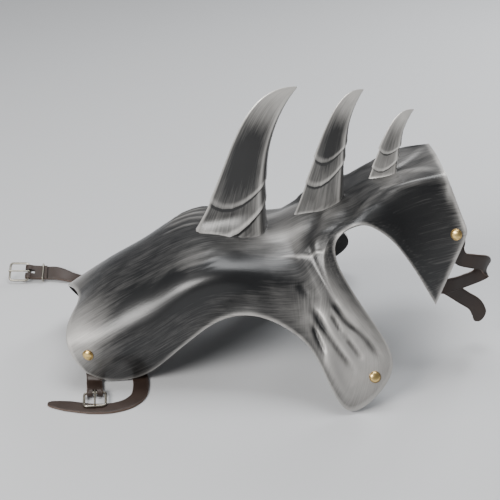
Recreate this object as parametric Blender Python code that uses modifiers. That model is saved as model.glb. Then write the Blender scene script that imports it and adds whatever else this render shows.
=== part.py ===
"""Horse head armour: a moulded shell with three blade horns, rivets and straps.

Run with: blender --background --python part.py
Lengths are metres and +Z is up. +X runs from the nose rim to the rear rim, -Y is the near side.
"""
import math

import bpy
from mathutils import Matrix, Vector

# Main sizes of the shell
LENGTH = 0.470          # start of the nose to the rear corner
HALF_SPAN = 0.167       # centre line to a cheek tip
HEIGHT = 0.232          # cheek tips to the top of the rear rim
WALL = 0.0028           # thickness of the moulded shell
FOLD_DEPTH = 0.0024     # deepest fold pressed into a cheek
CLEARANCE = 0.0003      # gap between pieces that touch

# Cross-sections of one half, from the nose rim to the rear rim
# x is a share of LENGTH, y of HALF_SPAN and z of HEIGHT; bend is how far the brow corner is rounded
SECTION_COLUMNS = ("crest_x", "crest_z", "brow_x", "brow_y", "brow_z",
                   "flank_x", "flank_y", "flank_z", "edge_x", "edge_y", "edge_z", "bend")
SECTIONS = (
    (0.078, 0.318, 0.066, 0.235, 0.276, 0.054, 0.413, 0.196, 0.088, 0.472, 0.064, 0.90),
    (0.112, 0.392, 0.108, 0.262, 0.352, 0.109, 0.491, 0.223, 0.126, 0.477, 0.021, 0.90),
    (0.163, 0.478, 0.166, 0.312, 0.428, 0.174, 0.532, 0.263, 0.175, 0.461, 0.000, 0.85),
    (0.235, 0.545, 0.244, 0.352, 0.506, 0.246, 0.536, 0.329, 0.244, 0.495, 0.060, 0.70),
    (0.320, 0.596, 0.329, 0.438, 0.620, 0.332, 0.530, 0.439, 0.332, 0.544, 0.245, 0.55),
    (0.397, 0.623, 0.402, 0.445, 0.670, 0.406, 0.533, 0.512, 0.405, 0.578, 0.375, 0.50),
    (0.461, 0.636, 0.467, 0.420, 0.656, 0.475, 0.533, 0.525, 0.477, 0.612, 0.414, 0.45),
    (0.523, 0.654, 0.531, 0.390, 0.622, 0.545, 0.563, 0.501, 0.549, 0.682, 0.379, 0.40),
    (0.578, 0.689, 0.584, 0.372, 0.617, 0.602, 0.605, 0.466, 0.618, 0.801, 0.284, 0.35),
    (0.620, 0.726, 0.600, 0.366, 0.634, 0.648, 0.683, 0.412, 0.662, 0.960, 0.112, 0.30),
    (0.649, 0.749, 0.611, 0.362, 0.650, 0.668, 0.707, 0.389, 0.706, 1.000, 0.010, 0.30),
    (0.675, 0.763, 0.619, 0.362, 0.664, 0.688, 0.689, 0.398, 0.779, 0.943, 0.103, 0.30),
    (0.694, 0.773, 0.626, 0.364, 0.680, 0.685, 0.635, 0.445, 0.810, 0.841, 0.245, 0.30),
    (0.710, 0.787, 0.636, 0.371, 0.701, 0.650, 0.533, 0.561, 0.745, 0.641, 0.430, 0.30),
    (0.727, 0.806, 0.660, 0.359, 0.733, 0.658, 0.389, 0.701, 0.674, 0.419, 0.661, 0.30),
    (0.749, 0.842, 0.730, 0.285, 0.780, 0.737, 0.347, 0.784, 0.740, 0.383, 0.781, 0.30),
    (0.787, 0.887, 0.785, 0.262, 0.864, 0.803, 0.365, 0.809, 0.812, 0.401, 0.715, 0.30),
    (0.841, 0.912, 0.841, 0.275, 0.930, 0.859, 0.377, 0.751, 0.866, 0.437, 0.586, 0.30),
    (0.895, 0.950, 0.900, 0.287, 0.968, 0.930, 0.432, 0.685, 0.915, 0.474, 0.424, 0.30),
    (0.955, 1.000, 0.957, 0.276, 0.982, 0.999, 0.498, 0.746, 0.935, 0.480, 0.353, 0.30),
)
FIRST_CHEEK_SECTION = 8
LAST_CHEEK_SECTION = 13
STEPS = 2               # grid steps from one section to the next
CHEEK_STEPS = 4         # grid steps between sections of the cheek flap, which carries the folds
CROWN_SHARE = 0.25      # share of the girth steps from the crest to the brow corner
BROW_SHARE = 0.50       # share of the girth steps up to the end of the brow corner
GIRTH_STEPS = 12        # grid steps from the crest to the edge
CORNER_START = 18.2     # section behind which the flank sharpens to a corner at the rear rim

# Folds pressed into the cheek flap: section where one runs, half its breadth in sections,
# its depth as a share of FOLD_DEPTH (below zero is a ridge), and where it starts along the girth
FOLD_COLUMNS = ("section", "breadth", "depth", "start")
CHEEK_FOLDS = (
    (8.9, 0.45, 0.6, 0.55),
    (9.9, 0.40, 1.0, 0.50),
    (10.6, 0.35, -0.6, 0.60),
    (11.2, 0.40, 0.9, 0.52),
    (12.1, 0.45, 0.7, 0.58),
)

FOLD_END = 0.84         # place along the girth where every fold has run out
FOLD_FADE = 0.16        # share of the girth over which a fold deepens and runs out

# Horns: base ends as shares of LENGTH, height as a share of HEIGHT, half thickness as a share of
# HORN_HALF_THICKNESS. Curve points are shares of the base length and of the horn's height.
HORN_HALF_THICKNESS = 0.015
HORN_ROOT = 0.020       # how far a horn is drawn below the crest before it is cut to its seat
SEAT_DEPTH = 0.026      # thickness of the cutter that shapes a horn's underside
HORN_STEPS = 20         # sections along a horn
HORN_TIP = 0.985        # share of the curve where a horn is cut off, just short of a point
HORN_EDGE_SHARE = 0.5 / HORN_STEPS  # a section this near to a scale border moves onto it
FOOT_SPREAD = 0.28      # how far a horn's foot spreads sideways, as a share of its base length
FOOT_RISE = 0.20        # share of a horn's height up which the spread runs out
LAME_STEP = 0.0010      # how far a lower scale band stands out from the one above it
LAME_LIP = 0.004        # half the share of a horn's height over which a scale border steps out
LAME_BORDERS = (0.16, 0.32, 0.47)
HORN_COLUMNS = ("name", "base_front", "base_rear", "height", "thickness", "tip_x", "tip_z",
                "front_low_x", "front_low_z", "front_high_x", "front_high_z",
                "rear_low_x", "rear_low_z", "rear_high_x", "rear_high_z")
HORNS = (
    ("horn_front", 0.320, 0.551, 0.762, 1.00, 1.275, 0.985, 0.60, 0.21, 0.505, 1.02, 0.90, 0.32, 0.93, 0.72),
    ("horn_middle", 0.589, 0.733, 0.599, 0.80, 1.260, 1.000, 0.51, 0.24, 0.594, 1.05, 0.95, 0.42, 0.94, 0.74),
    ("horn_rear", 0.773, 0.862, 0.345, 0.60, 1.350, 0.990, 0.47, 0.24, 0.580, 1.06, 0.91, 0.31, 1.00, 0.71),
)
# Outline of a horn's section: share of the chord from the front edge, share of the half thickness
HORN_SECTION = ((0.00, 0.00), (0.28, 0.50), (0.62, 0.85), (0.88, 1.00), (1.00, 0.00))

# Rivets: section and share of the girth where each pair sits
RIVET_CAP_RADIUS = 0.0064
RIVET_CAP_HEIGHT = 0.0030
RIVET_SHANK_RADIUS = 0.0019
RIVET_WASHER_RADIUS = 0.0048
RIVET_WASHER = 0.0009
RIVET_SEAT = 0.0006     # extra room under a cap where the shell bends
RIVET_SIDES = 14
BORE_DEPTH = 0.060      # length of the cutter for a rivet's hole
NOSE_RIVET = (0.75, 0.82)
CHEEK_RIVET = (11.00, 0.96)
REAR_RIVET = (18.56, 0.735)

# Straps
STRAP_WIDTH = 0.018
STRAP_THICKNESS = 0.0024
STRAP_TIP = 0.014       # length of a pointed strap end
STRAP_ROUND = 0.005     # length over which the riveted end widens to the full width
STRAP_STEPS = 2         # grid steps from one key point to the next
SEAT_HOLLOW = 0.0032    # room behind a strap where the shell bends away from it
TAIL_BEHIND = 0.40      # strap end behind its rivet, in strap widths
RUN_AHEAD = 0.50        # flat stretch ahead of its rivet, in strap widths

# Key points of the straps: centre, then the direction of the strap's width. Centres are in strap
# widths from the rivet that holds the strap. The height of a nose strap is that of its underside
# above the floor, and the height of a rear strap is measured from its rivet too.
KEY_COLUMNS = ("x", "y", "z", "width_x", "width_y", "width_z")
NOSE_TAB_KEYS = (
    (0.18, 0.42, 0.88, 0.96, -0.28, 0.0),
    (0.24, 0.45, 0.38, 0.96, -0.26, 0.0),
    (0.25, 0.24, 0.10, 0.97, -0.20, 0.0),
    (0.26, -0.05, 0.045, 1.0, 0.0, 0.0),
    (0.28, -0.50, 0.045, 1.0, 0.0, 0.0),
    (0.29, -0.75, 0.045, 1.0, 0.0, 0.0),
)
NOSE_BILLET_KEYS = (
    (1.45, 0.55, 1.53, 0.30, 0.0, 0.95),
    (2.35, 1.20, 0.68, 0.80, 0.0, 0.60),
    (2.85, 1.30, 0.30, 1.00, 0.0, 0.10),
    (3.08, 0.95, 0.13, 1.00, 0.0, 0.0),
    (3.14, 0.45, 0.035, 1.00, 0.0, 0.0),
    (3.15, -0.65, 0.00, 1.00, 0.0, 0.0),
    (2.95, -1.65, 0.00, 0.87, -0.50, 0.0),
    (2.35, -2.35, 0.00, 0.45, -0.89, 0.0),
    (1.50, -2.70, 0.00, 0.05, -1.00, 0.0),
    (0.20, -2.70, 0.00, -0.08, -1.00, 0.0),
    (-1.20, -2.30, 0.00, -0.28, -0.96, 0.0),
    (-2.60, -1.85, 0.00, -0.25, -0.97, 0.0),
)
NOSE_STRAP_FAR_KEYS = (
    (1.45, -0.55, 1.53, 0.30, 0.0, 0.95),
    (2.35, -1.20, 0.68, 0.80, 0.0, 0.60),
    (2.85, -1.30, 0.31, 1.00, 0.0, 0.02),
    (3.15, -0.95, 0.14, 1.00, 0.0, 0.0),
    (3.20, -0.45, 0.045, 1.00, 0.0, 0.0),
    (3.15, 0.80, 0.005, 0.98, 0.20, 0.0),
    (2.40, 2.60, 0.00, 0.70, 0.71, 0.0),
    (1.00, 3.90, 0.00, 0.45, 0.89, 0.0),
    (-0.30, 4.55, 0.04, 0.37, 0.93, 0.0),
    (-1.20, 4.85, 0.12, 0.30, 0.94, 0.12),
)
REAR_STRAP_NEAR_KEYS = (
    (0.14, 0.30, -1.05, 0.82, -0.35, 0.45),
    (0.48, 0.32, -1.85, 0.50, -0.15, 0.87),
    (1.40, 0.45, -2.20, 0.15, 0.0, 0.99),
    (2.25, 0.85, -2.60, 0.20, 0.0, 0.98),
    (2.45, 1.25, -3.25, 0.25, 0.0, 0.97),
    (2.00, 1.45, -3.80, 0.10, 0.0, 0.99),
    (1.15, 1.30, -4.05, 0.00, 0.0, 1.00),
    (0.30, 1.05, -4.15, 0.00, 0.0, 1.00),
    (-0.30, 1.15, -4.30, 0.00, 0.0, 1.00),
    (-0.25, 1.65, -4.45, 0.10, 0.0, 1.00),
    (0.45, 1.85, -4.95, 0.50, 0.0, 0.87),
    (1.40, 2.00, -5.70, 0.58, 0.0, 0.81),
    (2.30, 2.15, -6.45, 0.70, 0.0, 0.71),
    (2.60, 2.25, -7.10, 0.95, 0.0, 0.30),
    (2.55, 2.35, -7.75, 1.00, 0.0, 0.0),
)
REAR_STRAP_FAR_KEYS = (
    (0.08, -0.30, -1.10, 0.90, 0.42, 0.0),
    (0.08, -0.42, -2.60, 0.96, 0.28, 0.0),
    (0.05, -0.50, -4.30, 1.0, 0.0, 0.0),
    (0.05, -0.60, -6.00, 1.0, 0.0, 0.0),
)

# Buckles
WIRE_RADIUS = 0.0014
BUCKLE_MARGIN = 0.0016  # room between a strap's edge and the buckle's side
BUCKLE_LENGTH = 0.024
BUCKLE_CORNER = 0.004
PRONG_RADIUS = 0.0010
PRONG_REACH = 0.0018    # how far the prong passes the outer bar
PRONG_SLOT = 0.0050     # width of the slot that the prong comes through
FOLD_RETURN = 0.024     # length of the strap end that is folded back
KEEPER_PLACE = 0.019    # from the buckle's bar back to the keeper
KEEPER_RADIUS = 0.0010
KEEPER_CORNER = 0.0016
NEAR_BUCKLE_TILT = 2.5  # degrees that the near buckle's outer bar hangs down
FAR_BUCKLE_ROLL = 38.0  # degrees that the far buckle leans towards the near side
FAR_BUCKLE_PLACE = (-4.45, 5.25)  # its bar, in strap widths from the far nose rivet

COLOURS = {
    "blackened_leather": ((0.030, 0.031, 0.033), 0.42, 0.35),
    "blackened_horn": ((0.050, 0.051, 0.053), 0.36, 0.45),
    "strap_leather": ((0.060, 0.035, 0.024), 0.62, 0.0),
    "brass": ((0.62, 0.44, 0.18), 0.30, 1.0),
    "buckle_steel": ((0.55, 0.52, 0.44), 0.34, 1.0),
}


def clear_scene():
    for thing in list(bpy.data.objects):
        bpy.data.objects.remove(thing, do_unlink=True)


def new_collection(name):
    group = bpy.data.collections.new(name)
    bpy.context.scene.collection.children.link(group)
    return group


def move_to(thing, group):
    for old in list(thing.users_collection):
        old.objects.unlink(thing)
    group.objects.link(thing)


def material(name):
    found = bpy.data.materials.get(name)
    if found:
        return found
    colour, roughness, metallic = COLOURS[name]
    made = bpy.data.materials.new(name)
    made.use_nodes = True
    shader = made.node_tree.nodes["Principled BSDF"]
    shader.inputs["Base Color"].default_value = (*colour, 1.0)
    shader.inputs["Roughness"].default_value = roughness
    shader.inputs["Metallic"].default_value = metallic
    return made


def finish(thing, name, material_name, group):
    thing.name = name
    thing.data.name = name
    thing.data.materials.clear()
    thing.data.materials.append(material(material_name))
    move_to(thing, group)
    return thing


def grid(columns, rows, place):
    """A flat grid whose points go where place(a, b) puts them, a and b running from 0 to 1."""
    bpy.ops.mesh.primitive_grid_add(x_subdivisions=columns, y_subdivisions=rows, size=1.0)
    sheet = bpy.context.object
    for vertex in sheet.data.vertices:
        vertex.co = place(vertex.co.x + 0.5, vertex.co.y + 0.5)
    return sheet


def solidify(thing, thickness, offset):
    wall = thing.modifiers.new("wall", "SOLIDIFY")
    wall.thickness = thickness
    wall.offset = offset
    return wall


def cut(thing, cutter, tidy_group):
    """Cut one object out of another, keeping the cutter as a hidden wire."""
    difference = thing.modifiers.new("cut_" + cutter.name, "BOOLEAN")
    difference.operation = "DIFFERENCE"
    difference.solver = "EXACT"
    difference.object = cutter
    if cutter.name not in tidy_group.objects:
        move_to(cutter, tidy_group)
    cutter.hide_render = True
    cutter.display_type = "WIRE"


def spline(values, position):
    """Smooth value at a position in a list of numbers or vectors, through every one of them."""
    last = len(values) - 1
    index = min(int(position), last - 1)
    t = position - index
    before = values[max(index - 1, 0)]
    start = values[index]
    end = values[index + 1]
    after = values[min(index + 2, last)]
    ahead = (end - before) * 0.5
    beyond = (after - start) * 0.5
    return (start * (2 * t ** 3 - 3 * t ** 2 + 1) + ahead * (t ** 3 - 2 * t ** 2 + t)
            + end * (3 * t ** 2 - 2 * t ** 3) + beyond * (t ** 3 - t ** 2))


def section_value(column, position):
    place = SECTION_COLUMNS.index(column)
    return spline([row[place] for row in SECTIONS], position)


def section_points(position):
    """Crest, brow, flank and edge of the near half at a place between the sections."""
    crest = Vector((section_value("crest_x", position) * LENGTH, 0.0,
                    section_value("crest_z", position) * HEIGHT))
    points = [crest]
    for part in ("brow", "flank", "edge"):
        points.append(Vector((section_value(part + "_x", position) * LENGTH,
                              -section_value(part + "_y", position) * HALF_SPAN,
                              section_value(part + "_z", position) * HEIGHT)))
    return points


def arc(start, corner, end, t):
    """Point on the curve that leaves start towards corner and arrives at end from it."""
    return start.lerp(corner, t).lerp(corner.lerp(end, t), t)


def smooth_surface(position, girth):
    crest, brow, flank, edge = section_points(position)
    bend = section_value("bend", position)
    before_brow = brow.lerp(crest, 0.5 * bend)
    after_brow = brow.lerp(flank, 0.8 * bend)
    if girth <= CROWN_SHARE:
        return crest.lerp(before_brow, girth / CROWN_SHARE)
    if girth <= BROW_SHARE:
        return arc(before_brow, brow, after_brow, (girth - CROWN_SHARE) / (BROW_SHARE - CROWN_SHARE))
    middle = flank * 2.0 - (after_brow + edge) * 0.5
    t = (girth - BROW_SHARE) / (1.0 - BROW_SHARE)
    corner = after_brow.lerp(flank, 2.0 * t) if t < 0.5 else flank.lerp(edge, 2.0 * t - 1.0)
    sharpness = ease((position - CORNER_START) / (len(SECTIONS) - 1 - CORNER_START))
    return arc(after_brow, middle, edge, t).lerp(corner, sharpness)


def ease(value):
    value = min(max(value, 0.0), 1.0)
    return value * value * (3.0 - 2.0 * value)


def fold_depth(position, girth):
    depth = 0.0
    for centre, breadth, share, start in CHEEK_FOLDS:
        nearness = 1.0 - abs(position - centre) / breadth
        depth += share * ease(nearness) * ease((girth - start) / FOLD_FADE)
    return depth * FOLD_DEPTH * ease((FOLD_END - girth) / FOLD_FADE)


def outward(position, girth):
    """Unit normal of the near half, pointing out of the hollow."""
    step = 0.01
    last = len(SECTIONS) - 1
    low = max(position - step, 0.0)
    high = min(position + step, last)
    down = max(girth - step, 0.0)
    up = min(girth + step, 1.0)
    along = smooth_surface(high, girth) - smooth_surface(low, girth)
    across = smooth_surface(position, up) - smooth_surface(position, down)
    return across.cross(along).normalized()


def surface(position, girth):
    point = smooth_surface(position, girth)
    if girth == 0.0:
        return point
    return point - outward(position, girth) * fold_depth(position, girth)


def grid_positions():
    """Places along the shell where its grid has a row."""
    places = []
    for index in range(len(SECTIONS) - 1):
        on_cheek = FIRST_CHEEK_SECTION <= index < LAST_CHEEK_SECTION
        steps = CHEEK_STEPS if on_cheek else STEPS
        places += [index + step / steps for step in range(steps)]
    return places + [len(SECTIONS) - 1]


def half_shell():
    """Outer face of the near half, in triangles, so that every thickness laid on it turns the same."""
    places = grid_positions()

    def place(a, b):
        position = places[round(a * (len(places) - 1))]
        girth = round(b * GIRTH_STEPS) / GIRTH_STEPS
        return surface(position, girth)

    half = grid(len(places) - 1, GIRTH_STEPS, place)
    bpy.ops.object.mode_set(mode="EDIT")
    bpy.ops.mesh.select_all(action="SELECT")
    bpy.ops.mesh.quads_convert_to_tris(quad_method="SHORTEST_DIAGONAL")
    bpy.ops.object.mode_set(mode="OBJECT")
    return half


def mirrored(thing):
    mirror = thing.modifiers.new("far_side", "MIRROR")
    mirror.use_axis = (False, True, False)
    mirror.merge_threshold = 0.0001
    mirror.use_clip = True


def seat(place, far=False):
    """Point on the shell's outer face and the outward direction there."""
    point = surface(*place)
    normal = outward(*place)
    if far:
        point = Vector((point.x, -point.y, point.z))
        normal = Vector((normal.x, -normal.y, normal.z))
    return point, normal


def make_shell(group):
    shell = half_shell()
    mirrored(shell)
    solidify(shell, WALL, 1.0)
    return finish(shell, "shell", "blackened_leather", group)


def bore(point, normal, name):
    bpy.ops.mesh.primitive_cylinder_add(vertices=RIVET_SIDES, radius=RIVET_SHANK_RADIUS + CLEARANCE,
                                        depth=BORE_DEPTH, location=point)
    drill = bpy.context.object
    drill.rotation_mode = "QUATERNION"
    drill.rotation_quaternion = normal.to_track_quat("Z", "Y")
    drill.name = name
    return drill


def make_horn_seat(cutters):
    """A thick copy of the shell, raised by the clearance, that cuts the feet of the horns."""
    thick = half_shell()
    mirrored(thick)
    solidify(thick, SEAT_DEPTH + CLEARANCE, (SEAT_DEPTH - CLEARANCE) / (SEAT_DEPTH + CLEARANCE))
    thick.name = "horn_seat"
    move_to(thick, cutters)
    thick.hide_render = True
    thick.display_type = "WIRE"
    return thick


def cubic(start, first, second, end, t):
    return (start * (1 - t) ** 3 + first * (3 * t * (1 - t) ** 2)
            + second * (3 * t * t * (1 - t)) + end * t ** 3)


def crest_height(x):
    """Height of the crest above the floor at a distance from the nose."""
    last = len(SECTIONS) - 1
    low, high = 0.0, float(last)
    for _ in range(30):
        middle = (low + high) / 2.0
        if section_value("crest_x", middle) * LENGTH < x:
            low = middle
        else:
            high = middle
    return section_value("crest_z", low) * HEIGHT


def horn_stations():
    """Shares of a horn's height with a section each, two close together at every scale border."""
    stations = []
    for step in range(HORN_STEPS + 1):
        share = HORN_TIP * step / HORN_STEPS
        if all(abs(share - border) > HORN_EDGE_SHARE for border in LAME_BORDERS):
            stations.append((share, sum(share < border for border in LAME_BORDERS)))
    for border in LAME_BORDERS:
        index = LAME_BORDERS.index(border)
        above = len(LAME_BORDERS) - index - 1
        stations.append((border - LAME_LIP, above + 1))
        stations.append((border + LAME_LIP, above))
    return sorted(stations)


def make_horn(row, group, cutters, horn_seat):
    sizes = dict(zip(HORN_COLUMNS, row))
    front_x = sizes["base_front"] * LENGTH
    rear_x = sizes["base_rear"] * LENGTH
    base = rear_x - front_x
    height = sizes["height"] * HEIGHT
    floor = crest_height((front_x + rear_x) / 2.0)

    def spot(x_share, z_share):
        return Vector((front_x + x_share * base, 0.0, floor + z_share * height))

    front_foot = Vector((front_x, 0.0, crest_height(front_x) - HORN_ROOT))
    rear_foot = Vector((rear_x, 0.0, crest_height(rear_x) - HORN_ROOT))
    tip = spot(sizes["tip_x"], sizes["tip_z"])
    front = (front_foot, spot(sizes["front_low_x"], sizes["front_low_z"]),
             spot(sizes["front_high_x"], sizes["front_high_z"]), tip)
    rear = (rear_foot, spot(sizes["rear_low_x"], sizes["rear_low_z"]),
            spot(sizes["rear_high_x"], sizes["rear_high_z"]), tip)
    stations = horn_stations()
    near = [(chord, -side) for chord, side in HORN_SECTION]
    far = [(chord, side) for chord, side in reversed(HORN_SECTION[1:-1])]
    ring = near + far

    def place(a, b):
        share, lames = stations[round(b * (len(stations) - 1))]
        chord, side = ring[round(a * len(ring)) % len(ring)]
        start = cubic(*front, share)
        end = cubic(*rear, share ** 0.85)
        grow = lames * LAME_STEP
        direction = (end - start).normalized()
        half = HORN_HALF_THICKNESS * sizes["thickness"] * (1.0 - share) ** 0.75 + grow
        spread = FOOT_SPREAD * base * ease(1.0 - share / FOOT_RISE) * math.sin(math.pi * chord ** 0.6)
        point = (start - direction * grow).lerp(end + direction * grow, chord)
        return point + Vector((0.0, side * half + math.copysign(spread, side), 0.0))

    horn = grid(len(ring), len(stations) - 1, place)
    close_tube(horn)
    finish(horn, sizes["name"], "blackened_horn", group)
    cut(horn, horn_seat, cutters)
    return horn


def close_tube(tube):
    """Weld the open side of a rolled-up grid and fill both of its ends."""
    bpy.ops.object.select_all(action="DESELECT")
    tube.select_set(True)
    bpy.context.view_layer.objects.active = tube
    bpy.ops.object.mode_set(mode="EDIT")
    bpy.ops.mesh.select_all(action="SELECT")
    bpy.ops.mesh.remove_doubles(threshold=0.00002)
    bpy.ops.mesh.select_all(action="DESELECT")
    bpy.ops.mesh.select_mode(type="EDGE")
    bpy.ops.mesh.select_non_manifold()
    bpy.ops.mesh.fill_holes(sides=0)
    bpy.ops.mesh.select_all(action="SELECT")
    bpy.ops.mesh.normals_make_consistent(inside=False)
    bpy.ops.object.mode_set(mode="OBJECT")


def make_rivet(name, place, far, grip, group):
    """Domed cap outside, shank through the wall and a washer inside, turned in one piece."""
    point, normal = seat(place, far)
    cap_foot = RIVET_SEAT
    washer_top = -(grip + 1.5 * CLEARANCE)
    profile = [(0.0, cap_foot + RIVET_CAP_HEIGHT)]
    for step in range(1, 4):
        angle = step / 4 * math.pi / 2
        profile.append((RIVET_CAP_RADIUS * math.sin(angle), cap_foot + RIVET_CAP_HEIGHT * math.cos(angle)))
    profile += [
        (RIVET_CAP_RADIUS, cap_foot),
        (RIVET_SHANK_RADIUS, cap_foot),
        (RIVET_SHANK_RADIUS, washer_top),
        (RIVET_WASHER_RADIUS, washer_top),
        (RIVET_WASHER_RADIUS, washer_top - RIVET_WASHER),
        (0.0, washer_top - RIVET_WASHER),
    ]
    mesh = bpy.data.meshes.new(name)
    edges = [(index, index + 1) for index in range(len(profile) - 1)]
    mesh.from_pydata([(radius, 0.0, height) for radius, height in profile], edges, [])
    rivet = bpy.data.objects.new(name, mesh)
    group.objects.link(rivet)
    turn = rivet.modifiers.new("turn", "SCREW")
    turn.axis = "Z"
    turn.steps = RIVET_SIDES
    turn.render_steps = RIVET_SIDES
    turn.use_merge_vertices = True
    turn.merge_threshold = 0.00001
    mesh.materials.append(material("brass"))
    rivet.location = point
    rivet.rotation_mode = "QUATERNION"
    rivet.rotation_quaternion = normal.to_track_quat("Z", "Y")
    return rivet


def direction(points, index):
    """Direction of a path where it passes one of its points, leaning to the nearer neighbour."""
    back = points[index] - points[max(index - 1, 0)]
    ahead = points[min(index + 1, len(points) - 1)] - points[index]
    if back.length == 0.0 or ahead.length == 0.0:
        return (back + ahead).normalized()
    blend = back.normalized() * ahead.length + ahead.normalized() * back.length
    return blend / (back.length + ahead.length)


def path(points, position):
    """Smooth point on a path through unevenly spaced points."""
    index = min(int(position), len(points) - 2)
    t = position - index
    start = points[index]
    end = points[index + 1]
    chord = (end - start).length
    leaving = direction(points, index) * chord
    arriving = direction(points, index + 1) * chord
    return (start * (2 * t ** 3 - 3 * t ** 2 + 1) + leaving * (t ** 3 - 2 * t ** 2 + t)
            + end * (3 * t ** 2 - 2 * t ** 3) + arriving * (t ** 3 - t ** 2))


def ribbon(name, keys, group, pointed=False):
    """A flat strap through key points, each a centre and the direction of the strap's width."""
    centres = [centre for centre, _ in keys]
    widths = [keys[0][1]]
    for _, width in keys[1:]:
        widths.append(width if width.dot(widths[-1]) > 0.0 else -width)
    length = sum((centres[i + 1] - centres[i]).length for i in range(len(centres) - 1))

    def place(a, b):
        position = b * (len(keys) - 1)
        centre = path(centres, position)
        ahead = path(centres, min(position + 0.05, len(keys) - 1)) - path(centres, max(position - 0.05, 0))
        width = spline(widths, position)
        width = (width - ahead * (width.dot(ahead) / ahead.length_squared)).normalized()
        half = STRAP_WIDTH / 2.0
        half *= min(1.0, 0.6 + 0.4 * b * length / STRAP_ROUND)
        if pointed:
            left = (1.0 - b) * length
            half *= min(1.0, 0.25 + 0.75 * left / STRAP_TIP)
        return centre + width * half * (2.0 * a - 1.0)

    strap = grid(2, (len(keys) - 1) * STRAP_STEPS, place)
    solidify(strap, STRAP_THICKNESS, 0.0)
    return finish(strap, name, "strap_leather", group)


def strap_depth(layer):
    """Distance from the shell's outer face to the middle of a strap lying inside it."""
    return WALL + SEAT_HOLLOW + layer * 1.5 * CLEARANCE + (layer + 0.5) * STRAP_THICKNESS


def rivet_grip(layers):
    """Distance from the shell's outer face to the inner face of what a rivet holds."""
    if layers == 0:
        return WALL + RIVET_SEAT
    return strap_depth(layers - 1) + STRAP_THICKNESS / 2.0


def seat_keys(place, far, layer, heading):
    """First key points of a strap, flat against the inside of the shell at its rivet."""
    point, normal = seat(place, far)
    middle = point - normal * strap_depth(layer)
    ahead = (heading - normal * heading.dot(normal)).normalized()
    width = normal.cross(ahead)
    return [(middle - ahead * TAIL_BEHIND * STRAP_WIDTH, width),
            (middle, width),
            (middle + ahead * RUN_AHEAD * STRAP_WIDTH, width),
            (middle + ahead * (RUN_AHEAD + 0.06) * STRAP_WIDTH, width)]


def free_keys(rows, place, far, from_floor):
    """Key points of a strap's free stretch, worked out from its rivet."""
    rivet, _ = seat(place, far)
    keys = []
    for x, y, z, width_x, width_y, width_z in rows:
        centre = Vector((rivet.x + x * STRAP_WIDTH, rivet.y + y * STRAP_WIDTH, z * STRAP_WIDTH))
        centre.z += STRAP_THICKNESS / 2.0 if from_floor else rivet.z
        keys.append((centre, Vector((width_x, width_y, width_z))))
    return keys


def fold_radius():
    """Radius of the middle of a strap that is folded round a buckle's bar."""
    return WIRE_RADIUS + 2.0 * CLEARANCE + STRAP_THICKNESS / 2.0


def fold_keys(frame, leads):
    """Key points of a strap end folded round a buckle's bar and back along itself.

    The leads are the places, before the bar, where the strap already lies straight.
    """
    radius = fold_radius()
    layer = -radius + STRAP_THICKNESS + 1.5 * CLEARANCE
    spots = [(-lead, -radius) for lead in leads]
    spots += [(-radius, -radius), (0.0, -radius)]
    spots += [(radius * math.sin(turn), -radius * math.cos(turn))
              for turn in (math.pi / 4, math.pi / 2, 3 * math.pi / 4)]
    spots += [(0.0, radius), (-0.25 * FOLD_RETURN, layer + 0.35 * radius),
              (-0.5 * FOLD_RETURN, layer), (-FOLD_RETURN, layer)]
    width = frame.to_3x3() @ Vector((0.0, 1.0, 0.0))
    return [(frame @ Vector((along, 0.0, up)), width) for along, up in spots]


def bar_frame(place, along, up):
    """Local axes at a buckle's bar: X along the strap, Y along the bar, Z up through the buckle."""
    along = along.normalized()
    across = up.cross(along).normalized()
    up = along.cross(across)
    frame = Matrix((along, across, up)).transposed().to_4x4()
    frame.translation = place
    return frame


def poly_curve(name, points, radius, closed, group):
    """A round wire through points, closed into a ring or with filled ends."""
    curve = bpy.data.curves.new(name, "CURVE")
    curve.dimensions = "3D"
    curve.bevel_depth = radius
    curve.bevel_resolution = 2
    curve.use_fill_caps = not closed
    line = curve.splines.new("POLY")
    line.points.add(len(points) - 1)
    for place, point in zip(line.points, points):
        place.co = (*point, 1.0)
    line.use_cyclic_u = closed
    curve.materials.append(material("buckle_steel"))
    wire = bpy.data.objects.new(name, curve)
    group.objects.link(wire)
    return wire


def rounded_ring(half_length, half_width, corner):
    """Points of a rectangle with round corners, in the X-Y plane."""
    points = []
    for quarter, (x_side, y_side) in enumerate(((1, 1), (-1, 1), (-1, -1), (1, -1))):
        centre = Vector((x_side * (half_length - corner), y_side * (half_width - corner), 0.0))
        for step in range(4):
            angle = (quarter + step / 3) * math.pi / 2
            points.append(centre + Vector((math.cos(angle), math.sin(angle), 0.0)) * corner)
    return points


def buckle_half_width():
    return STRAP_WIDTH / 2.0 + BUCKLE_MARGIN + WIRE_RADIUS


def make_buckle(prefix, frame, tilt, group):
    """A wire frame whose rear bar sits in the strap's fold, and the prong that swings on it."""
    tilted = frame @ Matrix.Rotation(math.radians(tilt), 4, "Y")
    ring = rounded_ring(BUCKLE_LENGTH / 2.0, buckle_half_width(), BUCKLE_CORNER)
    points = [tilted @ (point + Vector((BUCKLE_LENGTH / 2.0, 0.0, 0.0))) for point in ring]
    poly_curve(prefix + "_frame", points, WIRE_RADIUS, True, group)
    reach = WIRE_RADIUS + 1.5 * CLEARANCE + PRONG_RADIUS
    hook = [Vector((reach * math.sin(turn), 0.0, reach * math.cos(turn)))
            for turn in (math.radians(degrees) for degrees in (-215, -170, -125, -85, -45, 0))]
    hook += [Vector((BUCKLE_LENGTH * share, 0.0, reach)) for share in (0.5, 1.0)]
    hook.append(Vector((BUCKLE_LENGTH + PRONG_REACH, 0.0, reach)))
    poly_curve(prefix + "_prong", [tilted @ point for point in hook], PRONG_RADIUS, False, group)


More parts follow.
